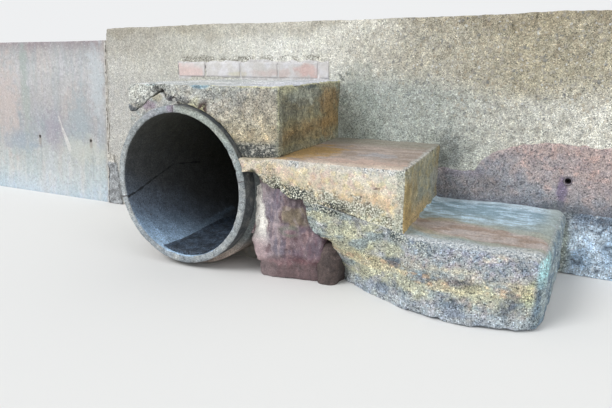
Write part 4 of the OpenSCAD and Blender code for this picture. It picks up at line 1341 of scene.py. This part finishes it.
# %% Front of the bottom step
def bottom_front(f, blob, fine, speck):
    """Grey-green with a buff ridge and dark blue-grey spots of painted shade as in hollows,
    blue-grey under the arris and green on the left bulge."""
    broad, along = f.noise(0.12, 4), f.noise(0.045, 4, stretch=(5, 1, 1))
    z = f.z + (broad - 0.5) * 0.08
    c = f.ramp(
        z, (0.05, (0.51, 0.53, 0.47)), (0.12, (0.48, 0.495, 0.43)), (0.17, (0.45, 0.45, 0.42)),
        (0.21, (0.39, 0.43, 0.47)), (0.26, (0.31, 0.37, 0.44)))
    c = f.layers(c,
        (f.smooth(blob, 0.5, 0.62) * f.smooth(z, 0.25, 0.19) * 0.6, (0.28, 0.34, 0.37)),
        (f.smooth(along, 0.52, 0.66) * 0.6, (0.64, 0.6, 0.46)),
        (f.smooth(along, 0.46, 0.36) * 0.55, (0.31, 0.37, 0.41)))
    c = mottle(f, c, [(1.12, 1.04, 1.0), (0.82, 0.9, 0.98), (0.95, 0.9, 0.98)], 0.025)
    bulge = f.edge(f.x, broad, 0.1, 0.98, 0.86)
    left = f.tones(blob, 0.44, 0.58, (0.57, 0.57, 0.42), (0.34, 0.4, 0.39))
    left = f.mix(f.smooth(f.noise(0.05, 4, shift=6.0), 0.52, 0.62) * 0.6, left, (0.46, 0.46, 0.52))
    c = f.mix(bulge * 0.85, c, left)
    ridge = f.ramp(
        f.x, (0.58, 0.19), (0.7, 0.15), (0.86, 0.141), (1.02, 0.125), (1.2, 0.129), (1.45, 0.135))
    ridge = f.math("ABSOLUTE", f.z - ridge + (along - 0.5) * 0.1)
    c = f.layers(c,
        (f.smooth(ridge, 0.032, 0.012) * f.smooth(blob, 0.6, 0.5) * 0.6, (0.66, 0.58, 0.38)),
        (f.smooth(ridge, 0.014, 0.006) * f.smooth(fine, 0.46, 0.56) * 0.7, (0.66, 0.47, 0.32)))
    # Dark blue-grey spots: painted shade of hollows.
    for x, z, wide, high in (
            (868, 50, 46, 26),
            (925, 157, 40, 16),
            (1166, 136, 50, 16),
            (1156, 60, 60, 26),
            (1329, 98, 30, 40),
    ):
        c = f.mix(f.spot((x, -670, z), (wide, 99, high), 0.8) * 0.75, c, (0.09, 0.12, 0.17))
    for x, z, wide, high in (
            (640, 290, 60, 20),
            (720, 243, 60, 24),
            (900, 205, 70, 26),
            (800, 160, 60, 24),
            (990, 95, 70, 34),
            (1240, 110, 80, 26),
    ):
        c = f.mix(f.spot((x, -670, z), (wide, 99, high), 0.9, 0.6) * 0.5, c, (0.62, 0.6, 0.38))
    c = f.mix(f.spot((1386, -700, 140), (26, 70, 40), 0.8) * 0.5, c, (0.52, 0.57, 0.33))
    c = lichen_band(f, c, fine, speck)
    return f.mix(f.edge(f.z, fine, 0.06, 0.08, 0.03) * 0.5, c, (0.45, 0.53, 0.66))


print("front of the bottom step ready")

# %% Tread of the bottom step
def bottom_tread(f, speck):
    """Wet and blue, with a painted highlight along the back edge and a brown puddle that has an
    ochre edge.
    """
    drops = f.noise(0.022, 5, stretch=(3, 1, 1), shift=1.0)
    pools = f.noise(0.07, 4, stretch=(1.6, 1, 1))
    damp = (drops - 0.5) * 0.75 + (pools - 0.5) * 0.9 + 0.5
    tread = f.tones(damp, 0.42, 0.6, (0.29, 0.42, 0.51), (0.58, 0.76, 0.9))
    tread = f.layers(tread,
        # A painted highlight along the back edge, where the tread meets the wall.
        (f.edge(f.y, damp, 0.2, -0.09, -0.03) * 0.6, (0.74, 0.86, 0.95)),
        (f.edge(f.y, damp, 0.3, -0.24, -0.36) * 0.7, (0.33, 0.38, 0.36)),
        (f.edge(f.x, damp, 0.1, 1.32, 1.4) * 0.7, (0.4, 0.45, 0.41)),
        (f.edge(f.x + f.y * 0.25, damp, 0.15, 0.86, 0.76) * 0.7, (0.36, 0.36, 0.28)))
    turn = f.y + 0.498 + (f.x - 1.19) * 0.16
    reach = f.math("ABSOLUTE", f.x - 1.19) * 4 + (damp - 0.5) * 0.25
    puddle = f.math("ABSOLUTE", turn + (damp - 0.5) * 0.08) + f.smooth(reach, 0.5, 1) * 0.05
    edge = f.math("ABSOLUTE", turn + (damp - 0.5) * 0.1) + f.smooth(reach, 0.6, 1.2) * 0.06
    front = f.edge(f.y, damp, 0.07, -0.61, -0.63)
    return f.layers(tread,
        (
            f.smooth(edge, 0.14, 0.1) * 0.6,
            f.tones(f.x, 1.02, 1.12, (0.5, 0.37, 0.2), (0.44, 0.42, 0.33))),
        (
            f.smooth(puddle, 0.098, 0.072),
            f.tones(damp, 0.4, 0.65, (0.4, 0.31, 0.26), (0.53, 0.47, 0.45))),
        (front * 0.7, f.tones(speck, 0.4, 0.52, (0.26, 0.3, 0.34), (0.7, 0.72, 0.74))))


print("tread of the bottom step ready")

# %% Finish of the bottom step
def bottom_step_finish():
    """Front and tread by the way the block faces, a darker right end with painted light, pale
    green, on its front corner, and grit along the arris."""
    f = Finish("bottom_step")
    up, end, arris, relief = (f.attribute(n) for n in ("up", "end", "arris", "relief"))
    blob = f.noise(0.06, 4, stretch=(2, 1, 1), shift=3.0)
    fine, speck = f.noise(0.03, 4), f.noise(0.006, 3)
    up = up * f.smooth(f.z, 0.215, 0.235)
    right = end * f.smooth(f.x, 1.3, 1.36)
    # Painted light: a pale green-blue patch on the front of the right end.
    painted_light_corner = right * f.edge(f.y, fine, 0.1, -0.5, -0.6) * f.smooth(f.z, 0.13, 0.2)
    crest = f.edge(arris, fine, 1.5, 0.55, 0.85) * f.smooth(f.z, 0.2, 0.23)
    crest = crest * f.smooth(f.x, 0.96, 1.02)
    c = f.layers(bottom_front(f, blob, fine, speck),
        (right, f.tones(blob, 0.4, 0.6, (0.22, 0.3, 0.37), (0.43, 0.51, 0.53))),
        (painted_light_corner * 0.8, (0.53, 0.86, 0.9)),
        (up, bottom_tread(f, speck)),
        (crest * 0.45, f.tones(speck, 0.4, 0.52, (0.24, 0.28, 0.32), (0.7, 0.72, 0.74))),
        (f.smooth(relief, -3, -9), (0.08, 0.08, 0.07)))
    c, height = speckle(f, c, 0.006, 0.95 - up * 0.5, dark=0.2, pale=0.16, clumps=0.7)
    return f.finish(c, 0.85 - up * 0.25, height, 0.004)


low_finish = bottom_step_finish()

# %% Bottom step
FOOT_X = [600, 642, 656, 708, 797, 900, 996, 1079, 1182, 1272, 1351, 1405, 1422]
FOOT_Y = [-455, -470, -500, -540, -601, -647, -700, -722, -728, -716, -706, -672, -640]


def left_edge(z):
    """How far right the mass starts at each height, beside the stones."""
    return np.interp(
        z, [0, 48, 87, 143, 189, 198, 236, 266, 314, 345],
        [634, 642, 656, 661, 652, 617, 586, 567, 561, 552])


def low_bend(x, y, z):
    """z runs up to the seam or the tread, x from the left edge to the right end, and the
    front moves from the arris to the foot line, late on the left and early on the right."""
    share, level = (x - 560) / 862, z / 258
    nominal = 560 + share * 862 + 70 * np.clip((y - MID_FRONT) / 680, 0, 1)
    crest = np.interp(
        nominal, [560, 650, 944, 952], [seam_height(560), seam_height(650), seam_height(944), LOW])
    zz = level * (crest + 3 * (nominal < 948))
    xx = left_edge(zz) + share * (1422 - left_edge(zz))
    foot = np.interp(xx, FOOT_X, FOOT_Y)
    arris = np.interp(xx, [930, 970], [MID_FRONT, MID_FRONT - 8])
    start = np.interp(xx, [600, 900, 1000], [215, 230, 262])
    fall = np.clip((start - zz) / (start - 44), 0, 1)
    fall = fall ** np.interp(foot, [-720, -600, -470], [0.8, 1.2, 1.1])
    front = arris + (foot - arris) * fall
    return xx, np.where(y < 0, y * front / LOW_FRONT, y), zz


p, quads, _ = cast_box(steps(560, 1422, 6), steps(LOW_FRONT, 22, 8), steps(0, 258, 6))
near = arris_distance(p)
sharp, blunt, worn_off = p, round_arrises(p, 18), round_arrises(p, 38)
right = smooth(p[:, :1], 1240, 1400)
p = np.where(p[:, :1] < 944, sharp, blunt + right * (worn_off - blunt))
p = np.stack(low_bend(*p.T), 1)
lay = lay_of(p, quads, near)
rough = 1 - 0.85 * lay["up"]
seam_side = 1 - smooth(p[:, 0], 900, 1000)
p, _ = weather(p, quads, [(240, 3, 73), (2000, 0.1, 84)])
more = rough * gravel_face(p)
chipped = 1 - seam_side * smooth(p[:, 2], 190, 230)
sink = np.exp(-near / 14) * smooth(noise(p, 34, 87), 0.1, 0.8) * 8 * chipped
p = p + normals(p, quads) * (more - sink)[:, None]
place_piece(
    "bottom_step_block", p, quads, low_finish, "bottom_step", "bottom_step",
    relief=more - sink, **lay)

# %% [markdown]
# ## The two stones
# A block of red sandstone and a rounder dark stone are packed beside the pipe. Sandstone
# splits along flat planes, so its face is the nearest of a few planes, with creases where
# two planes meet; the other stone is a box rounded almost to an egg.

# %% Finishes of the stones
def sandstone_finish():
    """Purple-red beds with dark lines, partly cracks and partly painted shade in the creases,
    painted shade on the right facet, and cream mortar at the left.
    """
    f = Finish("red_sandstone")
    broad, fine = f.noise(0.08, 4), f.noise(0.02, 4, stretch=(1, 1, 1.6))
    bed = f.noise(0.03, 4, stretch=(0.7, 1, 3))
    c = f.tones(broad, 0.42, 0.58, (0.208, 0.186, 0.228), (0.3, 0.257, 0.282))
    c = f.layers(c,
        (f.smooth(bed, 0.5, 0.64) * 0.5, (0.48, 0.38, 0.38)),
        (f.smooth(bed, 0.44, 0.34) * 0.5, (0.22, 0.15, 0.18)),
        # Darker to the right and the right facet's dark tones: painted shade, as that facet turns
        # away from the light.
        (f.edge(f.x, broad, 0.05, 0.45, 0.49) * 0.9, (0.86, 0.73, 0.73), "MULTIPLY"))
    right = f.edge(f.x, broad, 0.05, 0.455, 0.48) * f.edge(f.z, broad, 0.05, 0.215, 0.235)
    c = f.layers(c,
        (right * 0.85, f.tones(fine, 0.42, 0.58, (0.1, 0.078, 0.088), (0.19, 0.157, 0.173))),
        (f.spot((505, LOW_FRONT, 262), (46, 60, 40), 0.8) * 0.6, (0.3, 0.25, 0.16)))
    inner = f.spot((496, LOW_FRONT, 208), (28, 60, 10), 0.3)
    ring = f.spot((492, LOW_FRONT, 212), (40, 60, 22), 0.3) * (1 - inner)
    c = f.layers(c,
        (ring * 0.75, (0.2, 0.22, 0.18)),
        (f.edge(f.z, broad, 0.08, 0.12, 0.06) * 0.7, (0.33, 0.17, 0.18)),
        (f.smooth(fine, 0.54, 0.7) * 0.35, (0.52, 0.44, 0.46)))
    c = mottle(f, c, [(1.2, 1.16, 1.14), (0.74, 0.72, 0.74)], 0.022, stretch=(1, 1, 2))
    c = f.layers(c,
        (f.edge(f.x, broad, 0.03, 0.41, 0.38) * f.smooth(f.z, 0.12, 0.22) * 0.3, (0.5, 0.45, 0.44)),
        (f.smooth(f.x, 0.44, 0.36) * f.edge(f.z, broad, 0.05, 0.2, 0.15) * 0.8, (0.55, 0.42, 0.43)))
    # Dark lines, partly cracks and partly painted shade where two planes meet.
    for crack_and_crease_shade in (
            ((455, 345), (452, 262), (476, 226), (560, 236)),
            ((400, 150), (452, 128), (540, 146), (596, 132)),
            ((390, 292), (402, 236), (398, 190)),
    ):
        for (x, z), (x2, z2) in zip(crack_and_crease_shade, crack_and_crease_shade[1:]):
            dark = f.line((x, LOW_FRONT, z), (x2, LOW_FRONT, z2), 5, 10) * f.smooth(fine, 0.66, 0.5)
            c = f.mix(dark * 0.75, c, (0.11, 0.07, 0.085))
    c = f.layers(c,
        (
            f.edge(f.x + f.z * 0.2, fine, 0.05, 0.447, 0.424) * f.smooth(f.z, 0.12, 0.24),
            (1.0, 0.97, 0.9)),
        (f.smooth(f.attribute("relief"), -1.5, -5) * 0.6, (0.12, 0.07, 0.08)),
        (f.edge(f.z, broad, 0.04, 0.085, 0.05) * 0.7, (0.12, 0.1, 0.1)))
    c, height = speckle(f, c, 0.005, 0.4)
    return f.finish(c, 0.8, fine * 1.5 + bed + height * 0.4, 0.004)


sand_finish = sandstone_finish()
dark_finish = lump_finish("dark_stone", (0.118, 0.09, 0.085), (0.079, 0.063, 0.06), 0.007, 0.4)

# %% Sandstone block and backing stone
def sandstone_bend(x, y, z):
    """Each height has its own left and right edge. A narrow facet turns back at the left, a
    steeper one at the upper right, and the foot is cut in below a ledge, 28 mm deep."""
    left = np.interp(
        z, [0, 60, 83, 104, 144, 172, 235, 371, 392], [338, 338, 340, 325, 307, 320, 330, 334, 368])
    barrel = np.sqrt(np.clip((BARREL + 4) ** 2 - (z - AXIS) ** 2, 0, None))
    left = np.where(y > -632, np.maximum(left, barrel), left)
    right = np.interp(
        z, [0, 91, 125, 193, 244, 330, 345, 371, 392],
        [604, 608, 620, 619, 561, 558, 500, 440, 410])
    xx = left + (x - 350) / 240 * np.maximum(right - left, 8)
    turn = 0.22 + 0.26 * smooth(z, 205, 228)
    facets = 0.45 * np.clip(364 - xx, 0, None) + turn * np.clip(xx - 469, 0, None)
    ledge = np.interp(xx, [311, 392, 471, 538, 608], [75, 97, 122, 108, 91])
    ledge += 7 * noise(np.stack([xx, y * 0, y * 0], 1), 30, 90)
    front = facets + 28 * smooth(ledge - z, -2, 34) - 657 + 0.08 * (z - 200) * (z > 200)
    front += 0.1 * np.clip(230 - z, 0, 130) * smooth(xx, 440, 500)
    depth = smooth(-y, 470, 640)
    return xx, y * (1 - depth) + depth * (front + (y + 640)), z


mortar_block(
    "sandstone", steps(350, 590, 4.4), steps(-640, -465, 6), steps(0, 392, 4.4), sandstone_bend, 8,
    [(90, 3, 91), (40, 4.5, 92), (14, 2.0, 93)], sand_finish, "sandstone_block",
    "red_sandstone",
    [((330, -640, 70), (20, 40, 30), 6), ((470, -655, 190), (60, 30, 16), 5)])


def backing_bend(x, y, z):
    """A rounded stone, leaning a little to the right."""
    return x + 0.06 * z, y, z


mortar_block(
    "backing_stone_round", steps(582, 668, 5), steps(-612, -470, 6), steps(-30, 170, 5),
    backing_bend, 38, [(80, 6, 95), (26, 2, 96)], dark_finish, "backing_stone", "dark_stone")

# %% [markdown]
# ## Bricks at the back of the top step
# One course of bricks fills a pocket between the tread and the upper lift. Their faces
# are worn to different depths and their top edges are broken, with pale mortar between.

# %% Finish of the bricks
def brick_finish():
    """Pale bricks, pink where their skin has flaked, with a painted shadow line along the foot
    and painted shade along the top.
    """
    f = Finish("brick")
    blotch, fine = f.noise(0.07, 4), f.noise(0.012, 4)
    pink = f.edge(f.z + f.x * 0.15, blotch, 0.12, 0.778, 0.724)
    # foot: a painted shadow line where the bricks meet the tread.
    foot = f.edge(f.z, fine, 0.006, 0.781, 0.775) * f.smooth(f.x, 0.1, -0.3)
    c = f.tones(blotch, 0.38, 0.6, (0.76, 0.75, 0.77), (0.68, 0.66, 0.64))
    c = f.layers(c,
        (pink * f.smooth(f.x, -0.422, -0.44) * 0.75, (0.76, 0.57, 0.53)),
        (f.spot((-200, 40, 785), (60, 60, 12), 0.7) * 0.6, (0.62, 0.6, 0.46)),
        (f.spot((20, 40, 790), (150, 60, 16), 0.9, 0.6) * 0.5, (0.68, 0.53, 0.5)),
        (f.spot((205, 40, 803), (58, 60, 30), 0.9, 0.6) * 0.75, (0.7, 0.49, 0.45)),
        (f.smooth(f.x, -0.2, 0.05) * 0.6, (0.87, 0.87, 0.87), "MULTIPLY"),
        (foot * 0.6, (0.42, 0.4, 0.42)),
        (f.smooth(fine, 0.55, 0.7) * 0.35, (0.56, 0.53, 0.51)),
        (f.smooth(f.attribute("relief"), -1.2, -5) * 0.6, (0.36, 0.33, 0.31)),
        # Darker along the top: painted shade under the broken edge above.
        (f.edge(f.z, fine, 0.03, 0.842, 0.856) * 0.5, (0.34, 0.31, 0.28)))
    c, height = speckle(f, c, 0.006, 0.12)
    return f.finish(c, 0.85, height + fine, 0.0015)


brick_look = brick_finish()


def brick_bed_finish():
    """Pale mortar, dark with grime in the first joint and at the course's left end."""
    f = Finish("brick_bed")
    fine = f.noise(0.02, 4)
    c = f.tones(fine, 0.4, 0.6, (0.76, 0.75, 0.75), (0.62, 0.6, 0.59))
    grime = f.smooth(f.math("ABSOLUTE", f.x + 0.415), 0.009, 0.005) + f.smooth(f.x, -0.594, -0.599)
    grime = grime * f.smooth(f.z, 0.776, 0.784) * f.smooth(fine, 0.62, 0.5)
    c = f.mix(grime * 0.8, c, (0.16, 0.14, 0.13))
    c, height = speckle(f, c, 0.006, 0.15)
    return f.finish(c, 0.9, height + fine, 0.002)


bed_look = brick_bed_finish()

# %% Bricks and their bed
for name in ("header_brick", *(f"stretcher_brick_{k}" for k in (1, 2, 3)), "end_bat"):
    a, b = (1000 * (np.array(corner) - (PX, PY, 0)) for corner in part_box(name))
    mortar_block(name + "_worn", steps(a[0], b[0], 4), steps(a[1], b[1], 8), steps(a[2], b[2], 4),
                 lambda x, y, z: (x, y, z), 3, [(70, 1.5, 101), (18, 1.0, 102), (8, 0.5, 103)],
                 brick_look, name, "brick")


def bed_bend(x, y, z):
    """The bed's front is upright like the bricks, its back leans, and its top is ragged."""
    ragged = 7 * noise(np.stack([x, y * 0, z * 0], 1), 40, 105) * smooth(z, TOP + 70, TOP + 92)
    return x, y + LEAN * np.where(y < 30, TOP, z), z + ragged


mortar_block(
    "brick_bed_mortar", steps(-606, 318, 5), steps(-1, 90, 30), steps(TOP - 4, TOP + 93, 5),
    bed_bend, 3, [(50, 1.5, 106), (14, 1.5, 107)], bed_look, "brick_mortar", "patch_mortar")

# %% [markdown]
# ## Render coat, toe and weep hole
# A pink lime render covers the right of the lower wall. It is only 8 mm thick, so its
# outline is where a thin sheet dives back into the wall: the sheet stands 8 mm proud
# inside the outline and sinks 7 mm behind the face outside it, with a noisy border. The
# weep hole is drilled through it as through the wall. Where the render ends at the foot,
# a pale toe of rough mortar leans out; it is a cast block bent by a few measured depths.

# %% Finish of the render and the toe
def render_finish():
    """Pink-grey lime render, damper and bluer towards its foot, with dark pits."""
    f = Finish("render")
    broad, fine = f.noise(0.11, 4), f.noise(0.03, 4)
    c = f.tones(broad, 0.4, 0.62, (0.415, 0.405, 0.43), (0.54, 0.465, 0.455))
    c = f.layers(c,
        (f.edge(f.z + f.x * 0.05, broad, 0.2, 0.45, 0.36) * 0.7, (0.31, 0.335, 0.375)),
        (f.edge(f.x, broad, 0.3, 1.25, 1.5) * f.smooth(f.z, 0.28, 0.36) * 0.6, (0.54, 0.43, 0.41)),
        (
            f.edge(f.z, broad, 0.12, 0.42, 0.48) * f.smooth(f.x, 1.05, 1.15) * 0.6,
            (0.58, 0.45, 0.42)),
        (f.spot((1000, 22, 315), (150, 60, 60), 0.8) * 0.6, (0.27, 0.255, 0.26)))
    c = mottle(f, c, [(1.13, 1.04, 1.0), (0.86, 0.88, 0.92)], 0.03)
    c = f.layers(c,
        (f.smooth(f.noise(0.0095, 3), 0.58, 0.64) * 0.7, (0.09, 0.09, 0.11)),
        (f.spot((985, 22, 385), (90, 60, 30)) * 0.5, (0.28, 0.26, 0.32)),
        (f.spot((1400, 22, 330), (19, 60, 56), 0.4) * 0.7, (0.2, 0.16, 0.27)),
        (f.spot((1400, 22, 262), (70, 60, 26), 0.9) * 0.5, (0.14, 0.17, 0.16)),
        (f.spot((1392, 22, 372), (12, 60, 26), 0.5) * 0.4, (0.2, 0.15, 0.25)))
    low = f.edge(f.z, fine, 0.08, 0.31, 0.25)
    c = f.mix(low * 0.6, c, (0.12, 0.14, 0.18))
    c, height = speckle(f, c, 0.0046, 0.85, dark=0.16, pale=0.06, clumps=0.5)
    return f.finish(c, 0.85, height + fine, 0.003)


def toe_finish():
    """Pale blue-grey mortar, dark in its hollows and along its top."""
    f = Finish("pale_toe")
    fine, broad = f.noise(0.014, 4), f.noise(0.07, 4)
    c = f.tones(broad, 0.4, 0.6, (0.4, 0.53, 0.68), (0.56, 0.67, 0.78))
    c = f.layers(c,
        (f.edge(f.x, broad, 0.06, 1.47, 1.43) * 0.7, (0.46, 0.48, 0.36)),
        (f.edge(f.z, fine, 0.14, 0.17, 0.22) * 0.75, (0.13, 0.16, 0.21)),
        (f.smooth(fine, 0.55, 0.72) * 0.5, (0.72, 0.74, 0.76)),
        (f.smooth(f.attribute("relief"), -1, -5) * 0.7, (0.08, 0.1, 0.13)))
    c, height = speckle(f, c, 0.0062, 0.9, dark=0.2, pale=0.2)
    return f.finish(c, 0.85, height, 0.004)


render_look, toe_look = render_finish(), toe_finish()

# %% Render coat
def coat_top(x):
    """Top edge of the render, from the steps to the wall's right end."""
    return np.interp(
        x, [880, 1042, 1061, 1116, 1234, 1303, 1960], [389, 398, 434, 473, 510, 523, 519])


xs, zs = steps(872, BAY_RIGHT, 7, WEEP[:1]), steps(0, 560, 7, WEEP[1:2])
p, quads, used = cast_box(xs, np.array([-8, 40]), zs)
p, quads = drill(p, quads, used, len(zs), *WEEP)
wander = 11 * noise(p * (1, 0, 1), 80, 111) + 2.5 * noise(p * (1, 0, 1), 14, 112)
inside = smooth(coat_top(p[:, 0]) + wander - p[:, 2], -3, 9)
p[:, 1] = np.where(p[:, 1] < 0, -8 * inside + 7 * (1 - inside), p[:, 1]) + LEAN * p[:, 2]
p, _ = weather(p, quads, [(450, 2.0, 11), (70, 1.2, 12), (20, 1.2, 13), (9, 0.8, 113)])
place_piece("render_sheet", p, quads, render_look, "render_coat", "render")

# %% Toe
def toe_bend(x, y, z):
    """A rough apron that leans out from the render's foot to 38 mm at the ground."""
    out = np.interp(z, [0, 120, 180, 250], [38, 32, 26, 8])
    return x, np.where(y < 0, y * out / 38, y) + LEAN * z, z


mortar_block(
    "toe_apron", steps(1412, BAY_RIGHT, 6), steps(-38, 30, 17), steps(0, 246, 6), toe_bend, 6,
    [(90, 5, 115), (26, 5, 116), (11, 2.2, 117)], toe_look, "wall_toe", "pale_toe")

# %% [markdown]
# ## Finishes for the solid nodes that stay
# The plastic weep pipe and the rubble behind the stones have the right shape already, so
# the solid model's own meshes are kept and only get a finish.

# %% Kept nodes
def weep_finish():
    """Grimy purple-grey plastic."""
    f = Finish("weep_pipe")
    grime = f.noise(0.01, 3)
    c = f.tones(grime, 0.4, 0.6, (0.3, 0.26, 0.29), (0.18, 0.16, 0.19))
    return f.finish(c, 0.5 + grime * 0.3, grime, 0.001)


plain_rubble = Finish("rubble_core")
stone_tone, stone_in, _ = plain_rubble.pebbles(
    0.035, plain_rubble.at, 0,
    (0, (0.16, 0.15, 0.14)), (0.3, (0.26, 0.25, 0.22)), (0.6, (0.34, 0.31, 0.27)),
    (0.85, (0.45, 0.43, 0.39)), (1, 0.5))
core = plain_rubble.mix(stone_in, (0.3, 0.29, 0.26), stone_tone)
core_finish = plain_rubble.finish(core, 0.9, stone_in, 0.006)
for node, material in (("weep_pipe", weep_finish()), ("rubble_core", core_finish)):
    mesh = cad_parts[node].data
    mesh.materials.clear()
    mesh.materials.append(material)
print("kept nodes: weep_pipe, rubble_core")

# %% [markdown]
# ## Floor
# A plain floor catches the shadow, and so shows where the object stands. It belongs to
# the stage.

# %% Floor
floor_mesh = bpy.data.meshes.new("floor")
floor_mesh.from_pydata([(-30, -30, 0), (30, -30, 0), (30, 30, 0), (-30, 30, 0)], [], [(0, 1, 2, 3)])
ground = Finish("floor")
floor_mesh.materials.append(ground.finish((0.8, 0.8, 0.79), 0.9, ground.noise(0.4, 2), 0.0001))
floor = bpy.data.objects.new("floor", floor_mesh)
bpy.context.collection.objects.link(floor)
